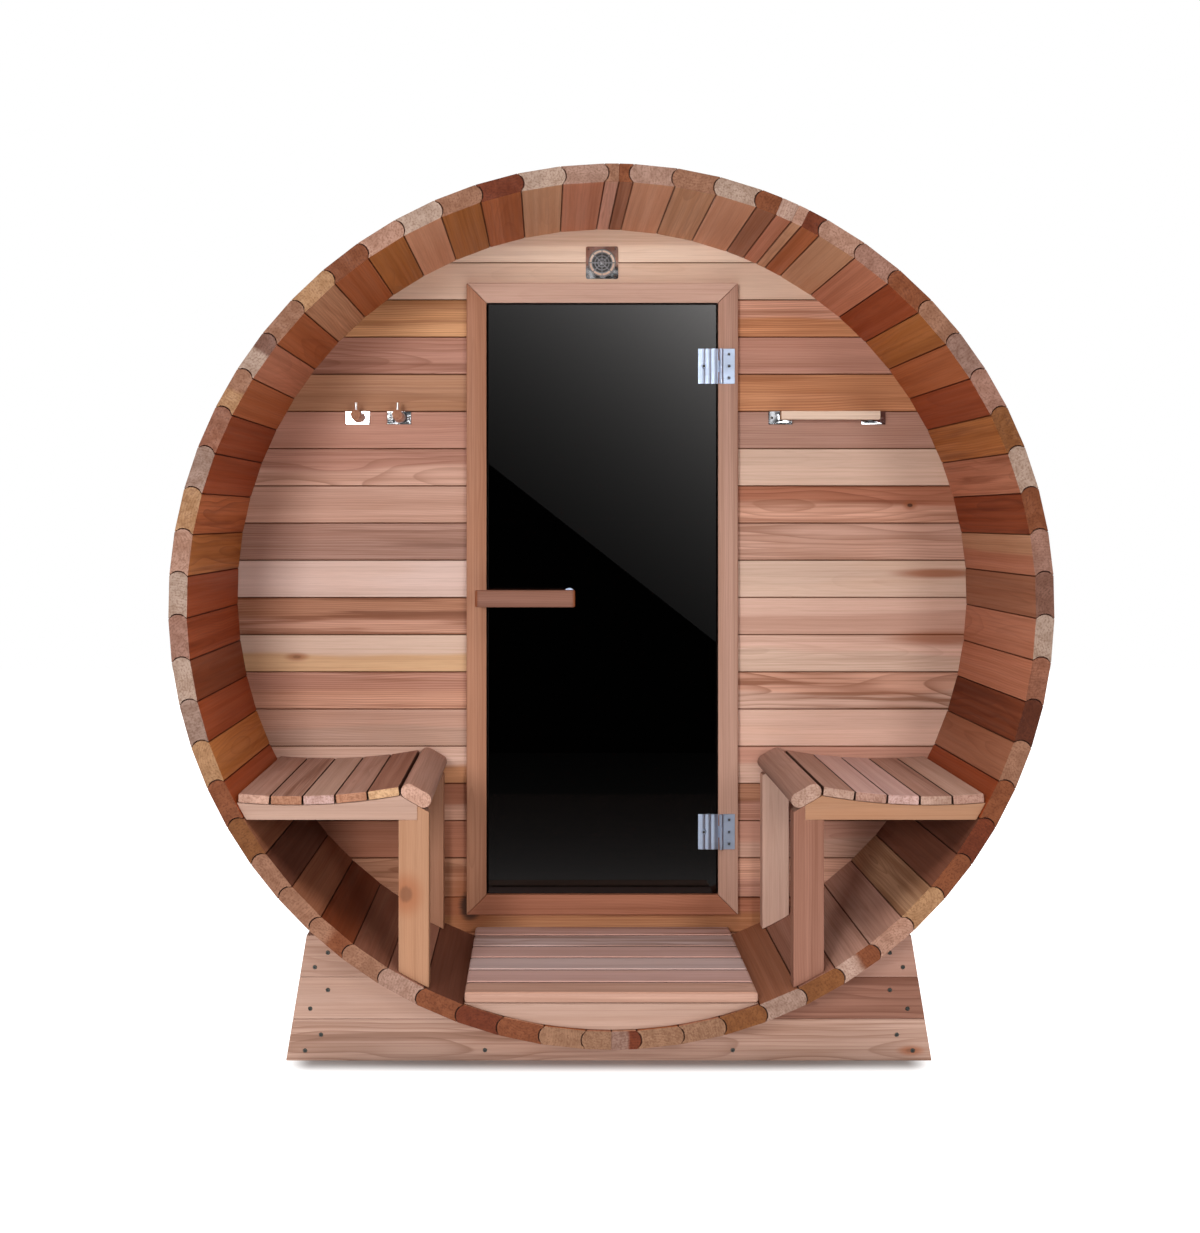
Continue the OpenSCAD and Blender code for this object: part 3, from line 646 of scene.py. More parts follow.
def slice_off(bm: BMesh, place: Vector, outward: Vector, seam: bool = False) -> None:
    """Cuts away what lies past a plane, and closes the cut.

    Args:
        bm: Mesh to cut.
        place: A point in the plane.
        outward: Direction of the side that is cut away.
        seam: Whether the cut takes the soft seam shade, which is dirt and painted shade in the joint.
    """
    geometry = bm.verts[:] + bm.edges[:] + bm.faces[:]
    cut = bmesh.ops.bisect_plane(
        bm, geom=geometry, dist=ON_CUT, plane_co=place, plane_no=outward, clear_outer=True
    )
    rim = [item for item in cut["geom_cut"] if isinstance(item, BMEdge)]
    if rim:
        filled = bmesh.ops.holes_fill(bm, edges=rim, sides=0)["faces"]
        if seam:
            mark_seam(bm, filled)


def ease_edges(
    bm: BMesh, size: float, choose: Optional[Callable[[BMEdge], bool]] = None, clamp: bool = True
) -> list[BMFace]:
    """Rounds the sharp edges of a mesh.

    Args:
        bm: Mesh to work on.
        size: Size of the rounding.
        choose: Test that an edge has to pass, or None for all sharp edges.
        clamp: Whether short edges make the rounding smaller.

    Returns:
        The faces of the rounding.
    """
    sharp = [e for e in bm.edges if len(e.link_faces) == 2 and e.calc_face_angle(0.0) > SHARP_ANGLE]
    chosen = [e for e in sharp if choose is None or choose(e)]
    made = bmesh.ops.bevel(
        bm, geom=chosen, offset=size, offset_type="OFFSET", segments=EASE_STEPS, profile=EASE_PROFILE,
        affect="EDGES", clamp_overlap=clamp, material=-1,
    )
    return made["faces"]


def box_of(bm: BMesh) -> tuple[Vector, Vector]:
    """Gives a mesh's lowest and highest corners."""
    places = np.array([v.co for v in bm.verts])
    return Vector(places.min(axis=0)), Vector(places.max(axis=0))


def pour(part: BMesh, whole: BMesh) -> None:
    """Adds a mesh to another one.

    Args:
        part: Mesh, which is used up.
        whole: Mesh that it is added to.
    """
    mesh = bpy.data.meshes.new("part")
    part.to_mesh(mesh)
    part.free()
    whole.from_mesh(mesh)
    bpy.data.meshes.remove(mesh)


def mesh_object(bm: BMesh, name: str, materials: Sequence[Material]) -> Object:
    """Turns a mesh into an object at the origin, smooth where it is round.

    Args:
        bm: Mesh, which is used up.
        name: Name of the object.
        materials: Its materials.

    Returns:
        The new object.
    """
    mesh = bpy.data.meshes.new(name)
    bm.to_mesh(mesh)
    bm.free()
    for material in materials:
        mesh.materials.append(material)
    mesh.shade_smooth()
    mesh.set_sharp_from_angle(angle=SMOOTH_ANGLE)
    obj = bpy.data.objects.new(name, mesh)
    bpy.context.scene.collection.objects.link(obj)
    return obj


def dressed(bm: BMesh, name: str, body: str, finishes: Sequence[Finish], *nodes: str) -> Object:
    """Turns a mesh into a piece of the dressed model.

    Args:
        bm: Mesh, which is used up.
        name: Name of the piece.
        body: Body that it rides on.
        finishes: Its finishes, the first of which names its slot.
        *nodes: Nodes that it replaces.

    Returns:
        The new object.
    """
    obj = mesh_object(bm, name, [Finishes.of(finish) for finish in finishes])
    if nodes:
        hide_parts(*nodes)
    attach(obj, body)
    return obj


@dataclass
class Board:
    """One piece of timber: its mesh, the way its grain runs and its cedar."""

    bm: BMesh
    along: Vector
    across: Vector
    stock: Stock
    end: Stock
    upright_rings: bool
    light: float = 1.0
    end_light: float = 1.0

    @classmethod
    def square(
        cls, bm: BMesh, stock: Stock, end: Stock, rng: random.Random, along: Optional[int] = None,
        light: float = 1.0,
    ) -> "Board":
        """Makes a board whose sides lie along the axes.

        Args:
            bm: Mesh of the board.
            stock: Cedar of its sides.
            end: Cedar of its end grain.
            rng: Source of the choice between flat and upright rings.
            along: Number of the axis of its grain, or None for its longest side.
            light: How light its sides are.

        Returns:
            The board.
        """
        low, high = box_of(bm)
        sides = high - low
        order = sorted(range(3), key=lambda axis: -sides[axis])
        if along is not None:
            order.remove(along)
            order.insert(0, along)
        upright = rng.random() < UPRIGHT_SHARE and not stock.flat
        return cls(bm, AXES[order[0]], AXES[order[1]], stock, end, upright, light)


class Timber:
    """Joins boards into one piece and gives each its own grain.

    The pith of a board lies beside it where its rings stand upright, and over or under it if they lie flat.
    """

    beside: Pair = (0.14, 0.4)
    beside_rise: Pair = (-0.05, 0.05)
    over: Pair = (0.02, 0.09)
    over_share: Pair = (-0.6, 0.6)
    grain_shift: Pair = (0.0, 60.0)
    tone_spread: Pair = (0.94, 1.06)

    def __init__(self, finish: Cedar, seed: int) -> None:
        """Starts an empty pile of boards.

        Args:
            finish: Cedar of the boards.
            seed: Seed of the random choices.
        """
        self.finish = finish
        self.rng = random.Random(seed)
        self.boards: list[Board] = []

    def piece(self, name: str, body: str, node: str) -> None:
        """Joins the boards into one object that stands for a CAD node.

        Args:
            name: Name of the piece.
            body: Body that it rides on.
            node: Node that it replaces.
        """
        whole = bmesh.new()
        spans: list[tuple[int, int, int, int]] = []
        seams: list[np.ndarray] = []
        for board in self.boards:
            verts, faces = len(whole.verts), len(whole.faces)
            layer = board.bm.faces.layers.int[SEAM]
            seams.append(np.array([face[layer] for face in board.bm.faces]))
            pour(board.bm, whole)
            spans.append((verts, len(whole.verts), faces, len(whole.faces)))
        obj = dressed(whole, name, body, [self.finish], node)
        self.set_grain(obj, spans, seams)
        log.info("%s: %d boards, %d faces", name, len(self.boards), len(obj.data.polygons))

    def set_grain(self, obj: Object, spans: list[tuple[int, int, int, int]], seams: list[np.ndarray]) -> None:
        """Writes the grain coordinates, tones and figure of each board to the mesh.

        Args:
            obj: The joined piece.
            spans: First and last vertex and face of each board.
            seams: Shades of each board's faces.
        """
        mesh = obj.data
        uniform = self.rng.uniform
        places = np.empty(len(mesh.vertices) * 3)
        mesh.vertices.foreach_get("co", places)
        places = places.reshape(-1, 3)
        normals = np.empty(len(mesh.polygons) * 3)
        mesh.polygons.foreach_get("normal", normals)
        normals = normals.reshape(-1, 3)
        grain = np.zeros_like(places)
        band = np.zeros(len(places))
        tones = {"tone_a": np.ones((len(normals), 4)), "tone_b": np.ones((len(normals), 4))}
        marks = {"end": np.zeros(len(normals)), "figure": np.zeros(len(normals))}
        for board, seam, (v0, v1, f0, f1) in zip(self.boards, seams, spans):
            axes = np.array([board.along, board.across, board.along.cross(board.across)])
            local = places[v0:v1] @ axes.T
            middle = (local.min(axis=0) + local.max(axis=0)) / 2
            half = (local.max(axis=0) - local.min(axis=0)) / 2
            band[v0:v1] = (local[:, 1] - middle[1]) / half[1]
            side = self.rng.choice((-1, 1))
            if board.upright_rings:
                pith = (side * uniform(*self.beside), uniform(*self.beside_rise))
            else:
                pith = (uniform(*self.over_share) * half[1], side * uniform(*self.over))
            shift = np.array([uniform(*self.grain_shift), pith[0] - middle[1], pith[1] - middle[2]])
            grain[v0:v1] = local + shift
            ends = np.abs(normals[f0:f1] @ axes[0]) > END_GRAIN
            halves = ((board.stock.lower, board.end.lower), (board.stock.upper, board.end.upper))
            for key, (side_tone, end_tone) in zip(tones, halves):
                side_colour = np.array(side_tone.linear[:3]) * board.light
                end_colour = np.array(end_tone.linear[:3]) * board.end_light
                colours = np.where(ends[:, None], end_colour, side_colour) * uniform(*self.tone_spread)
                # Face shades: dirt and painted shade in joints, painted shade in gaps and the reveal, painted
                # highlights on edges
                tones[key][f0:f1, :3] = colours * SHADES[seam]
            marks["end"][f0:f1] = ends
            marks["figure"][f0:f1] = board.stock.figure
        mesh.attributes.new("grain", "FLOAT_VECTOR", "POINT").data.foreach_set("vector", grain.ravel())
        mesh.attributes.new("band", "FLOAT", "POINT").data.foreach_set("value", band)
        for key, colours in tones.items():
            mesh.attributes.new(key, "FLOAT_COLOR", "FACE").data.foreach_set("color", colours.ravel())
        for key, values in marks.items():
            mesh.attributes.new(key, "FLOAT", "FACE").data.foreach_set("value", values)


def woodwork(
    node: str, name: str, body: str, finish: Cedar, seed: int, words: str, ends: str, ease: float,
    along: Optional[int] = None, order: int = 0, shade: Optional[Callable[[BMFace], Shade]] = None,
) -> None:
    """Makes a dressed copy of a CAD node whose solids are boards.

    Args:
        node: Node that it replaces.
        name: Name of the piece.
        body: Body that it rides on.
        finish: Its cedar.
        seed: Seed of the random choices.
        words: Stock of the boards in order, from the start again where it runs out.
        ends: Stock of their end grain, in the same way.
        ease: Rounding of the edges.
        along: Number of the axis of the grain, or None for each board's longest side.
        order: Number of the axis that the boards are put in order along.
        shade: Gives a face's shade.
    """
    timber = Timber(finish, seed)
    stock = [Stock.read(word) for word in words.split()]
    end = [Stock.read(word) for word in ends.split()]
    parts = sorted(node_islands(node), key=lambda part: sum(box_of(part), Vector(ZERO))[order])
    for number, part in enumerate(parts):
        ease_edges(part, ease)
        if shade is not None:
            for face in part.faces:
                mark_seam(part, [face], shade(face))
        board = Board.square(part, stock[number % len(stock)], end[number % len(end)], timber.rng, along)
        timber.boards.append(board)
    timber.piece(name, body, node)


def fitting(node: str, name: str, body: str, finish: Finish, ease: float) -> None:
    """Makes a dressed copy of a CAD node that isn't timber.

    Args:
        node: Node that it replaces.
        name: Name of the piece.
        body: Body that it rides on.
        finish: Its finish.
        ease: Rounding of its edges.
    """
    whole = bmesh.new()
    for part in node_islands(node):
        ease_edges(part, ease)
        pour(part, whole)
    dressed(whole, name, body, [finish], node)


def add_cone(bm: BMesh, sides: int, base: float, top: float, height: float, place: Matrix) -> list[BMFace]:
    """Adds a closed cone or cylinder to a mesh.

    Args:
        bm: Mesh to add to.
        sides: Number of its sides.
        base: Radius of its base.
        top: Radius of its top.
        height: Its height.
        place: Where its middle stands, and how it is turned.

    Returns:
        Its faces.
    """
    made = bmesh.ops.create_cone(
        bm, cap_ends=True, cap_tris=False, segments=sides, radius1=base, radius2=top, depth=height,
        matrix=place,
    )
    return list({face for vert in made["verts"] for face in vert.link_faces})


@dataclass(frozen=True)
class ScrewHead:
    """A round screw head with a socket, whose taper, bevel and depth are shares of its sizes."""

    radius: float
    rise: float
    socket: float
    sides: int = 18
    taper: float = 0.78
    socket_bevel: float = 0.12
    socket_depth: float = 0.7

    def add(self, bm: BMesh, place: Vector, outward: Vector) -> None:
        """Adds one head to a mesh.

        Args:
            bm: Mesh to add to.
            place: Middle of the head, on the surface that it sits on.
            outward: Direction that the head faces.
        """
        turn = outward.to_track_quat("Z", "Y").to_matrix().to_4x4()
        middle = Matrix.Translation(place) @ turn @ Matrix.Translation((0, 0, self.rise / 2))
        top_r = self.radius * self.taper
        faces = add_cone(bm, self.sides, self.radius, top_r, self.rise, middle)
        top = max(faces, key=lambda face: face.calc_center_median().dot(outward) * len(face.verts))
        bevel = self.socket * self.socket_bevel
        bmesh.ops.inset_region(bm, faces=[top], thickness=top_r - self.socket, depth=0)
        bmesh.ops.inset_region(bm, faces=[top], thickness=bevel, depth=-self.rise * self.socket_depth)
        # The socket's faces take the second, near-black material: painted shade in the hollow
        top.material_index = 1
        for edge in top.edges:
            for face in edge.link_faces:
                face.material_index = 1


def screws(
    name: str, body: str, finish: Metal, head: ScrewHead, places: Sequence[Triple], outward: Vector = FORWARD
) -> None:
    """Makes a set of screw heads.

    Args:
        name: Name of the piece.
        body: Body that it rides on.
        finish: Finish of the heads.
        head: Shape of a head.
        places: Middles of the heads.
        outward: Direction that they face.
    """
    bm = bmesh.new()
    for place in places:
        head.add(bm, Vector(place), outward)
    dressed(bm, name, body, [finish, Recess(finish.slot)])


@dataclass(frozen=True)
class StaveRow:
    """One group of staves: the stock of inner faces and ends, in order clockwise, and its light."""

    group: str
    faces: str
    ends: str
    light: float


@dataclass
class Barrel:
    """The staves, in the groups that the frame gives."""

    seed: int = 100
    arris: float = 0.0017
    outer_arris: float = 0.0012
    rim_ease: float = 0.0012
    tip: float = 0.0045
    end_light: float = 0.64
    rows: tuple[StaveRow, ...] = (
        StaveRow(
            "keel", "CLAY RUSSET SIENNA TAN RUSSET SIENNA TAN CLAY",
            "BRONZE OCHRE OCHRE CHESTNUT/TAUPE OCHRE OCHRE SIENNA CHESTNUT", 1.2,
        ),
        StaveRow(
            "lower_left", "WALNUT UMBER COCOA MAHOGANY CLAY WALNUT CLAY",
            "SIENNA FAWN TAN SIENNA/TAN TAN TAN BRONZE", 1.3,
        ),
        StaveRow(
            "left", "CHESTNUT BRONZE CHESTNUT MAHOGANY CHESTNUT+ CHESTNUT BRONZE+ SIENNA+ CHESTNUT",
            "SIENNA GOLD SAND SHELL ROSE SHELL PEACH GOLD SAND", 1.7,
        ),
        StaveRow(
            "upper_left", "CHESTNUT SIENNA RUSSET SIENNA OCHRE+ SIENNA BRONZE TAN- BRONZE SIENNA",
            "RUSSET GOLD/TAN SHELL/UMBER TAN GOLD SIENNA PEACH SHELL TAN CHESTNUT", 1.5,
        ),
        StaveRow(
            "crown", "OCHRE- RUSSET- ROSE CLAY TAN- OCHRE TAN- CLAY RUSSET OCHRE SIENNA",
            "SHELL FAWN TAN SIENNA FAWN TAN SHELL SIENNA PALE PEACH CHESTNUT", 1.5,
        ),
        StaveRow(
            "upper_right", "OCHRE- RUSSET CHESTNUT BRONZE SIENNA CHESTNUT BRONZE+",
            "PEACH ROSE SIENNA TAN TAUPE ROSE BRONZE", 1.5,
        ),
        StaveRow(
            "right", "RUSSET+ CHESTNUT+ OCHRE/RUSSET CLAY RUSSET RUSSET MAHOGANY+ CLAY CHESTNUT",
            "SHELL SIENNA ROSE UMBER SHELL RUSSET MAHOGANY TAN SIENNA", 1.35,
        ),
        StaveRow(
            "lower_right", "WALNUT COCOA OLIVE+ TAUPE TAUPE UMBER CLAY",
            "CHESTNUT SIENNA GOLD PEACH SIENNA/PALE BRONZE SAND", 1.15,
        ),
    )

    def build(self) -> None:
        """Makes one piece for each group."""
        for number, row in enumerate(self.rows):
            timber = Timber(Finishes.staves, self.seed + number)
            start = 0.0 if row.group == "keel" else -math.pi
            parts = node_islands("staves_" + row.group)
            parts.sort(key=lambda part: (self.turn_of(part) - start) % math.tau)
            for part, face, end in zip(parts, row.faces.split(), row.ends.split(), strict=True):
                timber.boards.append(self.stave(part, timber, Stock.read(face), Stock.read(end), row.light))
            timber.piece(row.group + "_staves", SAUNA, "staves_" + row.group)

    def turn_of(self, bm: BMesh) -> float:
        """Gives a stave's angle round the barrel, clockwise from the top.

        Args:
            bm: Mesh of the stave.

        Returns:
            The angle in radians.
        """
        places = np.array([v.co for v in bm.verts])
        angles = np.arctan2(places[:, 0], places[:, 2] - AXIS_Z)
        return math.atan2(np.sin(angles).mean(), np.cos(angles).mean())

    def stave(self, bm: BMesh, timber: Timber, face: Stock, end: Stock, light: float) -> Board:
        """Breaks the edges of a stave and sets its grain.

        Args:
            bm: Mesh of the stave.
            timber: Pile that it goes to.
            face: Cedar of its inner face.
            end: Cedar of its ends.
            light: How light the face is.

        Returns:
            The stave as a board.
        """
        turn = self.turn_of(bm)
        radial = Vector((math.sin(turn), 0, math.cos(turn)))
        tangent = Vector((math.cos(turn), 0, -math.sin(turn)))
        axis = Vector((0, 0, AXIS_Z))
        places = np.array([v.co for v in bm.verts])
        radii = np.hypot(places[:, 0], places[:, 2] - AXIS_Z)
        reach = (places - np.array(axis)) @ np.array(tangent)
        # Chamfers at the stave's corners take the soft shade: dirt and painted shade in the joints
        for radius, facing, arris in ((INNER_R, -1, self.arris), (OUTER_R, 1, self.outer_arris)):
            near = reach[np.abs(radii - radius) < self.arris]
            for side, edge in ((-1, near.min()), (1, near.max())):
                corner = axis + tangent * float(edge) + radial * math.sqrt(radius ** 2 - float(edge) ** 2)
                outward = (tangent * side + radial * facing).normalized()
                slice_off(bm, corner - outward * arris / math.sqrt(2), outward, True)
        # The bead and cove at the stave's ends take the dark shade: painted shade in the joints
        mark_seam(bm, ease_edges(bm, self.rim_ease, self.is_joint, False), Shade.DARK)
        upright = timber.rng.random() < UPRIGHT_SHARE
        return Board(bm, AXES[1], tangent, face, end, upright, light, self.end_light)

    def is_joint(self, edge: BMEdge) -> bool:
        """Tells whether an edge lies at the rim between two staves.

        Args:
            edge: Edge of a stave.

        Returns:
            True for the bead and the cove of its ends, without their tips.
        """
        radii = [math.hypot(vert.co.x, vert.co.z - AXIS_Z) for vert in edge.verts]
        at_rim = all(abs(vert.co.y) > -RIM_Y - MERGE for vert in edge.verts)
        return at_rim and min(radii) > INNER_R + self.tip and max(radii) < OUTER_R - self.tip


@dataclass
class Hoops:
    """Steel hoops and their tighteners."""

    hoop_ease: float = 0.0003
    bolt_ease: float = 0.0008

    def build(self) -> None:
        """Dresses the hoops and their tighteners."""
        fitting("hoops", "steel_hoops", SAUNA, Finishes.hoops, self.hoop_ease)
        fitting("hoop_tighteners", "hoop_bolts", SAUNA, Finishes.hoops, self.bolt_ease)


@dataclass
class Walls:
    """Both end walls, made of level boards with broken edges.

    Each front panel has the number of the seam above it and the stock of its boards from the top down.
    """

    seed: int = 200
    rear_seed: int = 210
    board_h: float = 0.0895
    first_seam: float = 1.7795
    gap: float = 0.00015
    arris: float = 0.0016
    panels: tuple[tuple[str, int, str], ...] = (
        (
            "left", 1,
            "GOLD+ ROSE~ OCHRE ROSE FAWN/ROSE+ FAWN TAUPE+ BLUSH- PEACH/TAN! STRAW/SHELL- PEACH/ROSE+ "
            "SAND/FAWN HONEY/PALE PEACH/RUSSET RUSSET TAN+",
        ),
        (
            "right", 1,
            "HONEY/PEACH+ ROSE HONEY+ TAUPE SHELL- PEACH/RUSSET+ FAWN~ SHELL- FAWN/PALE- SHELL/PALE "
            "PALE/PEACH! PALE- PALE/ROSE ROSE/TAN+ FAWN/ROSE ROSE/PEACH+",
        ),
        ("top", -1, "IVORY/CREAM- CREAM-"),
        ("bottom", 17, "HONEY/RUSSET+ TAN"),
    )
    rear: str = "PALE ROSE TAN+ FAWN PEACH- RUSSET+ HONEY TAUPE PALE-"
    rear_first: int = -1
    rear_rows: int = 20
    light: float = 1.18
    end: Stock = Stock.read("ROSE")

    def build(self) -> None:
        """Makes the boards of all wall panels."""
        for number, (side, first, words) in enumerate(self.panels):
            self.panel("front_wall_" + side, side + "_wall_boards", words.split(), first, self.seed + number)
        rng = random.Random(self.rear_seed)
        rows = [rng.choice(self.rear.split()) for _ in range(self.rear_rows)]
        self.panel("rear_wall", "rear_wall_boards", rows, self.rear_first, self.rear_seed + 1)

    def panel(self, node: str, name: str, rows: Sequence[str], first: int, seed: int) -> None:
        """Cuts one panel into boards.

        Args:
            node: Node of the panel.
            name: Name of the piece.
            rows: Stock of the boards, from the top down.
            first: Number of the seam above the first board.
            seed: Seed of the random choices.
        """
        timber = Timber(Finishes.walls, seed)
        low, high = [Vector(corner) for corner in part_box(node)]
        for number, word in enumerate(rows):
            top = high.z if number == 0 else self.first_seam - (first + number) * self.board_h
            base = low.z if number == len(rows) - 1 else self.first_seam - (first + number + 1) * self.board_h
            for part in node_islands(node):
                self.cut(part, base, top, low, high)
                board = Board.square(part, Stock.read(word), self.end, timber.rng, 0, self.light)
                timber.boards.append(board)
        timber.piece(name, SAUNA, node)

    def cut(self, bm: BMesh, base: float, top: float, low: Vector, high: Vector) -> None:
        """Cuts one board out of a panel, and breaks its long edges.

        Args:
            bm: Copy of the panel.
            base: Height of the board's lower edge.
            top: Height of its upper edge.
            low: Lowest corner of the panel.
            high: Highest corner of the panel.
        """
        edges = ((1, top - self.gap, high.z), (-1, base + self.gap, low.z))
        for side, height, limit in edges:
            if abs(height - limit) > 2 * self.gap:
                slice_off(bm, Vector((0, 0, height)), Vector((0, 0, side)))
        # The broken long edges take the soft shade: dirt and painted shade in the joints
        for side, height, _ in edges:
            for face, depth in ((-1, low.y), (1, high.y)):
                outward = Vector((0, face, side)).normalized()
                corner = Vector((0, depth, height))
                slice_off(bm, corner - outward * self.arris / math.sqrt(2), outward, True)


@dataclass
class DoorFrame:
    """The mitred casing and jambs."""

    seed: int = 300
    ease: float = 0.0022
    opening: Triple = (0.277, 0.263, 1.68)
    shadow_back: float = -0.7
    members: tuple[tuple[str, str, int], ...] = (
        ("left", "TAN", 2), ("right", "FAWN", 2), ("head", "PALE-", 0), ("sill", "RUSSET", 0),
    )
    ends: str = "ROSE"

    def build(self) -> None:
        """Makes the four members of the frame."""
        for number, (side, word, axis) in enumerate(self.members):
            woodwork(
                "door_frame_" + side, side + "_casing", SAUNA, Finishes.frame, self.seed + number, word,
                self.ends, self.ease, axis, 0, self.reveal,
            )

    def reveal(self, face: BMFace) -> Shade:
        """Gives the shade of a face: a near-black painted shadow round the edge of the glass, and a painted
        highlight on the sill.

        Args:
            face: Face of a member.

        Returns:
            Its shade.
        """
        half, base, top = self.opening
        middle = face.calc_center_median()
        inside = abs(middle.x) < half + MERGE and base - MERGE < middle.z < top + MERGE
        beside = CASING_Y + self.ease < middle.y < self.shadow_back
        if not (inside and beside):
            return Shade.PLAIN
        # Reveal faces take the painted shadow, and the sill's top the painted highlight
        return Shade.SEALED if face.normal.z < END_GRAIN else Shade.WORN


@dataclass
class Door:
    """The glass door with its handles, standoffs and hinges."""

    seed: int = 320
    glass_ease: float = 0.001
    grip_ease: float = 0.003
    standoff_ease: float = 0.0006
    leaf_ease: float = 0.0003
    grips: tuple[tuple[str, str], ...] = (("door_handle", "outer_grip"), ("inner_handle", "inner_grip"))
    grip_stock: str = "UMBER"
    grip_ends: str = "SIENNA"
    hinge_zs: Pair = (0.415, 1.528)
    glass_screw_x: float = 0.2425
    glass_leaf_rise: float = 0.0015
    frame_screw_x: float = 0.3025
    frame_screw_step: float = 0.0286
    plate_t: float = 0.003
    glass_head: ScrewHead = ScrewHead(0.0062, 0.0025, 0.0032)
    frame_head: ScrewHead = ScrewHead(0.0048, 0.0012, 0.0028)

    def build(self) -> None:
        """Makes the pieces of the door and the hinges."""
        fitting("door_glass", "glass_pane", DOOR, Finishes.glass, self.glass_ease)
        for number, (node, name) in enumerate(self.grips):
            woodwork(
                node, name, DOOR, Finishes.grip, self.seed + number, self.grip_stock, self.grip_ends,
                self.grip_ease, 0,
            )
        fitting("handle_standoffs", "grip_standoffs", DOOR, Finishes.hinges, self.standoff_ease)
        fitting("glass_hinges", "glass_leaves", DOOR, Finishes.hinges, self.leaf_ease)
        fitting("frame_hinges", "casing_leaves", SAUNA, Finishes.hinges, self.leaf_ease)
        front = CASING_Y - self.plate_t
        glass_places = [(self.glass_screw_x, front - self.glass_leaf_rise, z) for z in self.hinge_zs]
        screws("glass_leaf_screws", DOOR, Finishes.hinges, self.glass_head, glass_places)
        steps = (-self.frame_screw_step, 0.0, self.frame_screw_step)
        frame_places = [(self.frame_screw_x, front, z + step) for z in self.hinge_zs for step in steps]
        screws("casing_leaf_screws", SAUNA, Finishes.hinges, self.frame_head, frame_places)


@dataclass
class WallFittings:
    """The vent, the robe hooks and the towel bar."""

    peg_seed: int = 400
    bar_seed: int = 401
    vent_ease: float = 0.0006
    ring_ease: float = 0.0004
    plate_ease: float = 0.0008
    wood_ease: float = 0.0015
    vent_z: float = 1.779
    vent_screw: float = 0.0325
    vent_t: float = 0.003
    vent_head: ScrewHead = ScrewHead(0.003, 0.001, 0.0013)
    disc_r: float = 0.0245
    disc_t: float = 0.0006
    disc_sides: int = 48
    plate_t: float = 0.004
    plate_screw: float = 0.021
    plate_xs: tuple[float, ...] = (-0.48806, -0.58706, 0.42906, 0.65206)
    plate_z: float = 1.406
    plate_head: ScrewHead = ScrewHead(0.0035, 0.0012, 0.0015)
    hooks: int = 2
    peg_tilt: float = math.radians(5)
    pin_root: Pair = (-0.74086, 1.40922)
    pin_base: float = 0.0126
    pin_top: float = 0.0306
    pin_r: float = 0.0036
    pin_sides: int = 24

    def build(self) -> None:
        """Makes the fittings and their screws."""
        cedar = Finishes.frame
        ease = self.wood_ease
        fitting("vent_plate", "vent_cover", SAUNA, Finishes.chrome, self.vent_ease)
        fitting("vent_grille", "vent_rings", SAUNA, Finishes.rings, self.ring_ease)
        self.vent_shade_disc()
        fitting("robe_hook_plates", "hook_plates", SAUNA, Finishes.chrome, self.plate_ease)
        fitting("towel_bar_brackets", "bar_brackets", SAUNA, Finishes.brackets, self.plate_ease)
        woodwork("robe_hook_pegs", "hook_pegs", SAUNA, cedar, self.peg_seed, "PEACH", "TAN", ease, 1)
        self.pin_sleeves()
        woodwork("towel_bar", "towel_rail", SAUNA, cedar, self.bar_seed, "IVORY-", "STRAW", ease, 0)
        reach = (-self.vent_screw, self.vent_screw)
        vent_places = [(x, WALL_Y - self.vent_t, self.vent_z + z) for x in reach for z in reach]
        screws("vent_screws", SAUNA, Finishes.chrome, self.vent_head, vent_places)
        sides = (-self.plate_screw, self.plate_screw)
        front = WALL_Y - self.plate_t
        plate_places = [(x + side, front, self.plate_z) for x in self.plate_xs for side in sides]
        screws("plate_screws", SAUNA, Finishes.chrome, self.plate_head, plate_places)

    def pin_sleeves(self) -> None:
        """Makes the bright sleeves of the pins that stand in the pegs."""
        bm = bmesh.new()
        lean = Matrix.Rotation(-self.peg_tilt, 4, "X")
        rise = Matrix.Translation((0, 0, (self.pin_base + self.pin_top) / 2))
        for x in self.plate_xs[: self.hooks]:
            place = Matrix.Translation((x, *self.pin_root)) @ lean @ rise
            add_cone(bm, self.pin_sides, self.pin_r, self.pin_r, self.pin_top - self.pin_base, place)
        dressed(bm, "pin_sleeves", SAUNA, [Finishes.pins])

    def vent_shade_disc(self) -> None:
        """Makes a near-black disc behind the rings of the vent, painted shade in its opening."""
        bm = bmesh.new()
        turn = Matrix.Rotation(math.pi / 2, 4, "X")
        place = Matrix.Translation((0, WALL_Y - self.disc_t / 2, self.vent_z)) @ turn
        add_cone(bm, self.disc_sides, self.disc_r, self.disc_r, self.disc_t, place)
        dressed(bm, "vent_shade_disc", SAUNA, [Recess(BRIGHT)])


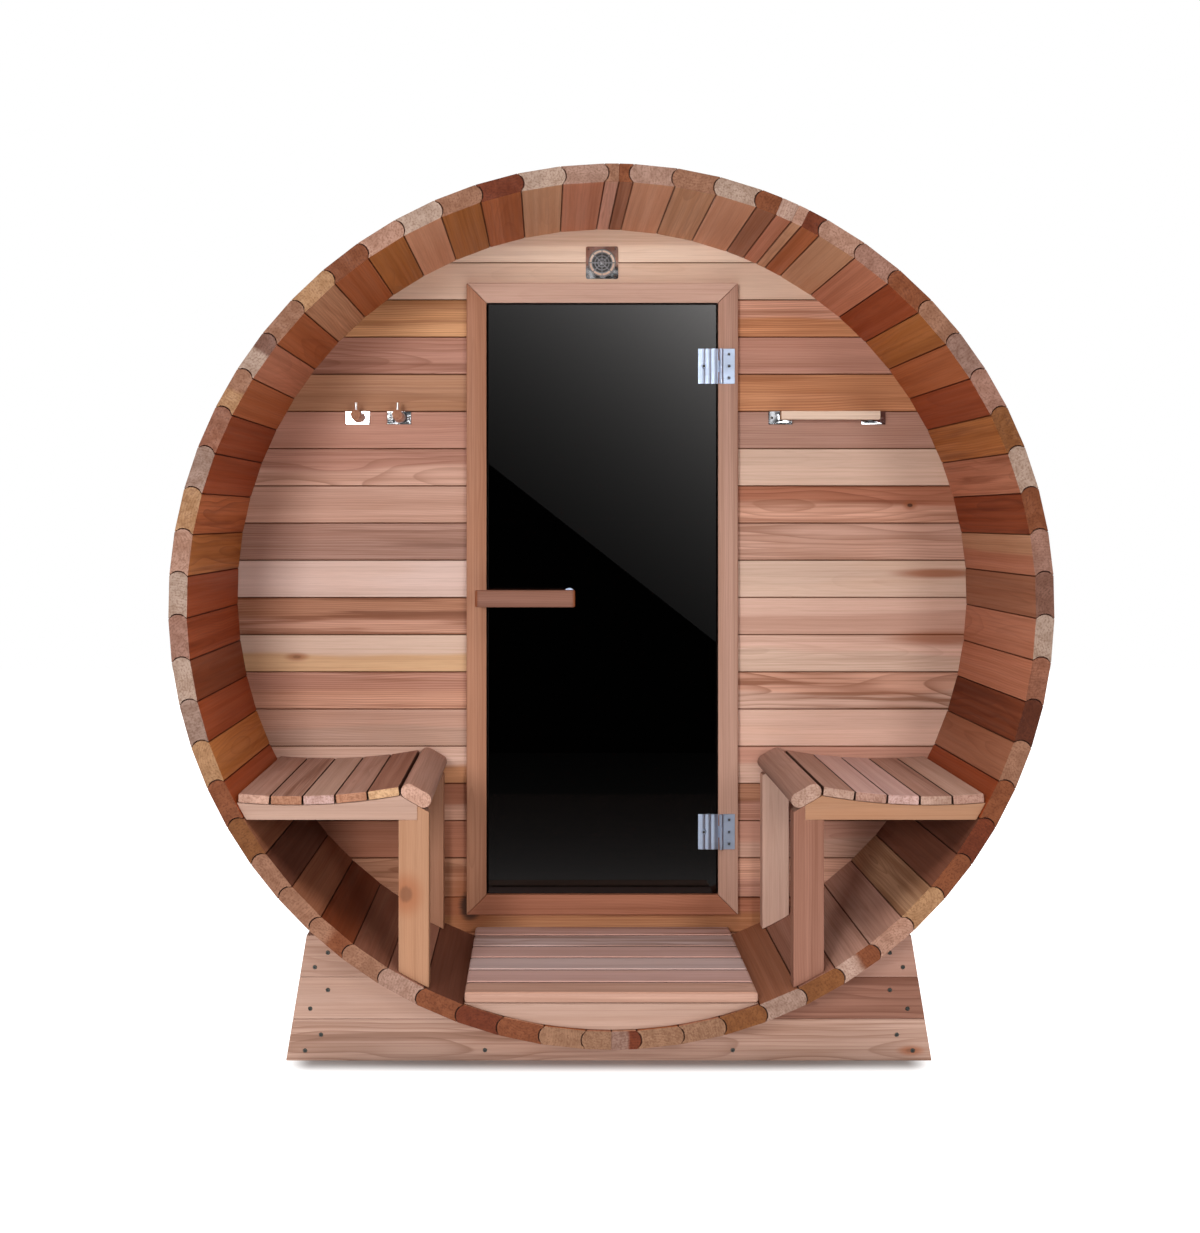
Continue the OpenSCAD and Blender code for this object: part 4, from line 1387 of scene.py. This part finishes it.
@dataclass
class Floors:
    """The slatted floors of porch and cabin, with their bearers."""

    seed: int = 500
    bearer_seed: int = 510
    ease: float = 0.006
    bearer_ease: float = 0.001
    slope: float = 0.3
    nosing_y: float = -1.15
    floors: tuple[tuple[str, str], ...] = (
        ("porch", "FAWN ASH- DRIFT- ASH DRIFT+ ASH!"), ("cabin", "SAND DRIFT TAUPE"),
    )
    ends: str = "TAUPE"
    bearers: str = "SAND- ROSE FAWN TAN"
    bearer_ends: str = "ROSE"

    def build(self) -> None:
        """Makes both floors."""
        for number, (place, words) in enumerate(self.floors):
            woodwork(
                place + "_floor_boards", place + "_duckboards", SAUNA, Finishes.floor, self.seed + number,
                words, self.ends, self.ease, 0, 1, self.edge,
            )
        woodwork(
            "floor_bearers", "floor_joists", SAUNA, Finishes.floor, self.bearer_seed, self.bearers,
            self.bearer_ends, self.bearer_ease, None, 1,
        )

    def edge(self, face: BMFace) -> Shade:
        """Gives the shade of a face: a painted highlight on the front edge of a board and painted shade in a
        gap.

        Args:
            face: Face of a board.

        Returns:
            Its shade.
        """
        forward = -face.normal.y
        if forward > self.slope and face.normal.z > forward:
            return Shade.WORN
        behind = face.calc_center_median().y > self.nosing_y
        return Shade.DARK if behind and abs(forward) > self.slope else Shade.PLAIN


@dataclass
class Bench:
    """One bench of the porch."""

    side: str
    seed: int
    slats: str
    nose: str
    rails: str
    legs: str
    ends: str = "SAND TAUPE ASH"
    slat_ease: float = 0.003
    ease: float = 0.0015

    def build(self) -> None:
        """Makes the slats, nose, rails and legs."""
        parts = (
            ("slats", self.slats, self.slat_ease, 1, 0, self.flank),
            ("nose", self.nose, self.ease, 1, 0, None),
            ("rails", self.rails, self.ease, 0, 1, None),
            ("legs", self.legs, self.ease, 2, 1, None),
        )
        for number, (part, words, ease, axis, order, shade) in enumerate(parts):
            woodwork(
                f"{self.side}_bench_{part}", f"{self.side}_seat_{part}", SAUNA, Finishes.bench,
                self.seed + number, words, self.ends, ease, axis, order, shade,
            )

    def flank(self, face: BMFace) -> Shade:
        """Gives the shade of a face, which is painted shade on the sides of a slat, in the gaps between
        slats.
        """
        return Shade.DARK if abs(face.normal.x) > END_GRAIN else Shade.PLAIN


@dataclass
class Cradles:
    """Both cradles with their cleats and screws."""

    seed: int = 700
    cleat_seed: int = 710
    ease: float = 0.0015
    boards: str = "SAND~ SAND- UMBER+ SAND TAUPE"
    cleats: str = "TAN ROSE"
    ends: str = "ROSE TAN"
    face_y: float = 1.08
    head: ScrewHead = ScrewHead(0.0048, 0.0012, 0.002)
    screw_spots: tuple[Pair, ...] = (
        (0.631, 0.201), (0.603, 0.232), (0.641, 0.112), (0.603, 0.152), (0.618, 0.056), (0.652, 0.022),
        (0.266, 0.023),
    )

    def build(self) -> None:
        """Makes the boards, cleats and screws."""
        for number, (end, sign) in enumerate((("front", -1), ("rear", 1))):
            woodwork(
                end + "_cradle_boards", end + "_saddle", SAUNA, Finishes.cradle, self.seed + number,
                self.boards, self.ends, self.ease, 0, 2,
            )
            places = [(side * x, sign * self.face_y, z) for side in (-1, 1) for x, z in self.screw_spots]
            screws(end + "_saddle_screws", SAUNA, Finishes.screws, self.head, places, Vector((0, sign, 0)))
        woodwork(
            "cradle_cleats", "saddle_cleats", SAUNA, Finishes.cradle, self.cleat_seed, self.cleats, self.ends,
            self.ease, 2,
        )


@dataclass(frozen=True)
class SoftBox:
    """A soft light that faces the porch: its middle, size, power in watts and whether fittings mirror it."""

    name: str
    place: Triple
    size: Pair
    power: float
    mirrored: bool = True


@dataclass(frozen=True)
class Card:
    """A glowing card in front of the porch, which glass and bright fittings mirror.

    Its corners are X and Z. The exponent of its glow rises by the slope along each axis, less the fall.
    """

    name: str
    corners: tuple[Pair, ...]
    slope: Triple
    fall: float


@dataclass
class Studio:
    """The camera, the soft lights and the pale floor."""

    lens: float = 42.66
    shift: Pair = (0.0442, -0.0795)
    eye: Triple = (-0.136, -4.216, 1.164)
    target: Triple = (0.0, -0.8, 0.95)
    room_height: Colour = (0.0, 0.9, 0.06, 0.6)
    room_depth: Colour = (-0.8, 0.2, 0.12, 1.0)
    lights: tuple[SoftBox, ...] = (
        SoftBox("key_light", (-1.76, -5.7, 1.7), (1.1, 1.3), 130.0),
        SoftBox("fill_light", (1.95, -5.7, 1.7), (0.8, 1.1), 53.0),
        SoftBox("top_light", (0.0, -2.6, 4.6), (3.4, 2.2), 110.0, False),
        SoftBox("bounce_light", (0.0, -3.6, -0.8), (4.0, 1.6), 30.0, False),
    )
    card_y: float = -5.72
    card_glow: Colour = (1.0, 0.98, 0.97, 1.0)
    cards: tuple[Card, ...] = (
        Card("studio_card", ((-1.05, 1.94), (1.04, 0.3), (1.04, 2.5), (-1.05, 2.5)), (1.22, 0.0, 1.6), 3.6),
        Card("studio_strip", ((-0.6, 2.66), (1.0, 2.66), (1.0, 3.1), (-0.6, 3.1)), ZERO, 1.2),
        Card("studio_apron", ((-0.8, -1.15), (1.1, -1.15), (1.1, -0.2), (-0.8, -0.2)), (0.0, 0.0, -4.0), 4.9),
    )
    floor_half: float = 5.0
    floor_front: float = -2.05
    floor_back: float = 7.0
    floor_cloud: Triple = (1.5, 1.5, 1.5)
    floor_tones: tuple[Colour, Colour] = ((0.4, 0.4, 0.4, 1.0), (0.44, 0.44, 0.44, 1.0))
    floor_roughness: float = 0.9
    floor_glow: float = 1.35
    footprint: Triple = (0.63, 1.09, 1.0)
    shadow_reach: float = 0.09

    def build(self) -> None:
        """Sets up the whole studio."""
        self.set_camera()
        self.set_world()
        for box in self.lights:
            self.add_light(box)
        self.floor()
        [self.card(card) for card in self.cards]

    def set_camera(self) -> None:
        """Places the camera where the photograph was taken from."""
        data = bpy.data.cameras.new("camera")
        data.lens = self.lens
        data.shift_x, data.shift_y = self.shift
        camera = bpy.data.objects.new("camera", data)
        camera.location = self.eye
        camera.rotation_euler = (math.pi / 2, 0, 0)
        bpy.context.scene.collection.objects.link(camera)
        bpy.context.scene.camera = camera
        bpy.context.scene.view_settings.view_transform = "Standard"

    def set_world(self) -> None:
        """Makes a white backdrop and a room that is light above and dark in front."""
        world = bpy.data.worlds.new("studio")
        bpy.context.scene.world = world
        sheet = NodeSheet(world)
        direction = sheet.add("ShaderNodeTexCoord").outputs["Generated"]
        split = sheet.add("ShaderNodeSeparateXYZ", [direction])
        height = sheet.span(split.outputs["Z"], *self.room_height, "LINEAR")
        depth = sheet.span(split.outputs["Y"], *self.room_depth, "LINEAR")
        room = sheet.add("ShaderNodeBackground", (WHITE, sheet.times(height, depth)))
        backdrop = sheet.tree.nodes["Background"]
        sheet.feed(backdrop.inputs["Color"], WHITE)
        seen = sheet.add("ShaderNodeLightPath").outputs["Is Camera Ray"]
        chooser = sheet.add("ShaderNodeMixShader", (seen, room.outputs[0], backdrop.outputs[0]))
        sheet.feed(sheet.tree.nodes["World Output"].inputs["Surface"], chooser.outputs[0])

    def add_light(self, box: SoftBox) -> None:
        """Adds one soft light.

        Args:
            box: The light's place, size and power.
        """
        data = bpy.data.lights.new(box.name, "AREA")
        data.shape = "RECTANGLE"
        data.size, data.size_y = box.size
        data.energy = box.power
        light = bpy.data.objects.new(box.name, data)
        light.location = box.place
        light.rotation_euler = (Vector(self.target) - Vector(box.place)).to_track_quat("-Z", "Y").to_euler()
        light.visible_camera = False
        light.visible_glossy = box.mirrored
        bpy.context.scene.collection.objects.link(light)

    def floor(self) -> Object:
        """Makes the pale floor, with a painted shadow where its glow fades round the sauna's footprint.

        Returns:
            The floor.
        """
        bm = bmesh.new()
        bmesh.ops.create_grid(bm, x_segments=1, y_segments=1, size=1)
        half_depth = (self.floor_back - self.floor_front) / 2
        bmesh.ops.scale(bm, vec=(self.floor_half, half_depth, 1), verts=bm.verts)
        bmesh.ops.translate(bm, vec=(0, (self.floor_front + self.floor_back) / 2, 0), verts=bm.verts)
        sheet = NodeSheet(bpy.data.materials.new("studio_floor"))
        cloud = sheet.noise(sheet.place(), self.floor_cloud)
        sheet.set("Base Color", sheet.mix(cloud, *self.floor_tones))
        sheet.set("Roughness", self.floor_roughness)
        sheet.set("Emission Color", WHITE)
        # The glow fades out within shadow_reach of the footprint, which paints a shadow under the sauna
        offset = sheet.vector("SUBTRACT", sheet.vector("ABSOLUTE", sheet.place()), self.footprint)
        away = sheet.length(sheet.vector("MAXIMUM", offset))
        sheet.set("Emission Strength", sheet.span(away, 0.0, self.shadow_reach, 0.0, self.floor_glow))
        floor = mesh_object(bm, "studio_floor", [sheet.owner])
        floor.visible_glossy = False
        return floor

    def card(self, card: Card) -> Object:
        """Makes a glowing card.

        Args:
            card: The card's corners and glow.

        Returns:
            The card.
        """
        bm = bmesh.new()
        bm.faces.new([bm.verts.new((x, self.card_y, z)) for x, z in card.corners])
        sheet = NodeSheet(bpy.data.materials.new(card.name))
        rise = sheet.vector("DOT_PRODUCT", sheet.place(), card.slope, "Value")
        sheet.set("Base Color", BLACK)
        sheet.set("Emission Color", self.card_glow)
        sheet.set("Emission Strength", sheet.math("EXPONENT", sheet.math("SUBTRACT", rise, card.fall)))
        obj = mesh_object(bm, card.name, [sheet.owner])
        obj.visible_camera = False
        return obj


def main() -> None:
    """Builds every sub-assembly and the studio."""
    logging.basicConfig(level=logging.INFO, format="%(name)s: %(message)s")
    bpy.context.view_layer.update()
    left_bench = Bench(
        "left", 600, "TAUPE TAUPE+ SAND- TAUPE UMBER", "TAUPE", "SAND-", "OCHRE- TAN-",
        "FAWN TAN ASH TAN STRAW",
    )
    right_bench = Bench("right", 610, "TAUPE ASH- ASH- TAUPE+ SAND", "TAUPE", "OCHRE-", "UMBER PALE-")
    assemblies = (
        Studio(), Barrel(), Hoops(), Walls(), DoorFrame(), Door(), WallFittings(), Floors(), left_bench,
        right_bench, Cradles(),
    )
    for assembly in assemblies:
        assembly.build()
        log.info("%s done", type(assembly).__name__)


if __name__ == "__main__":
    main()
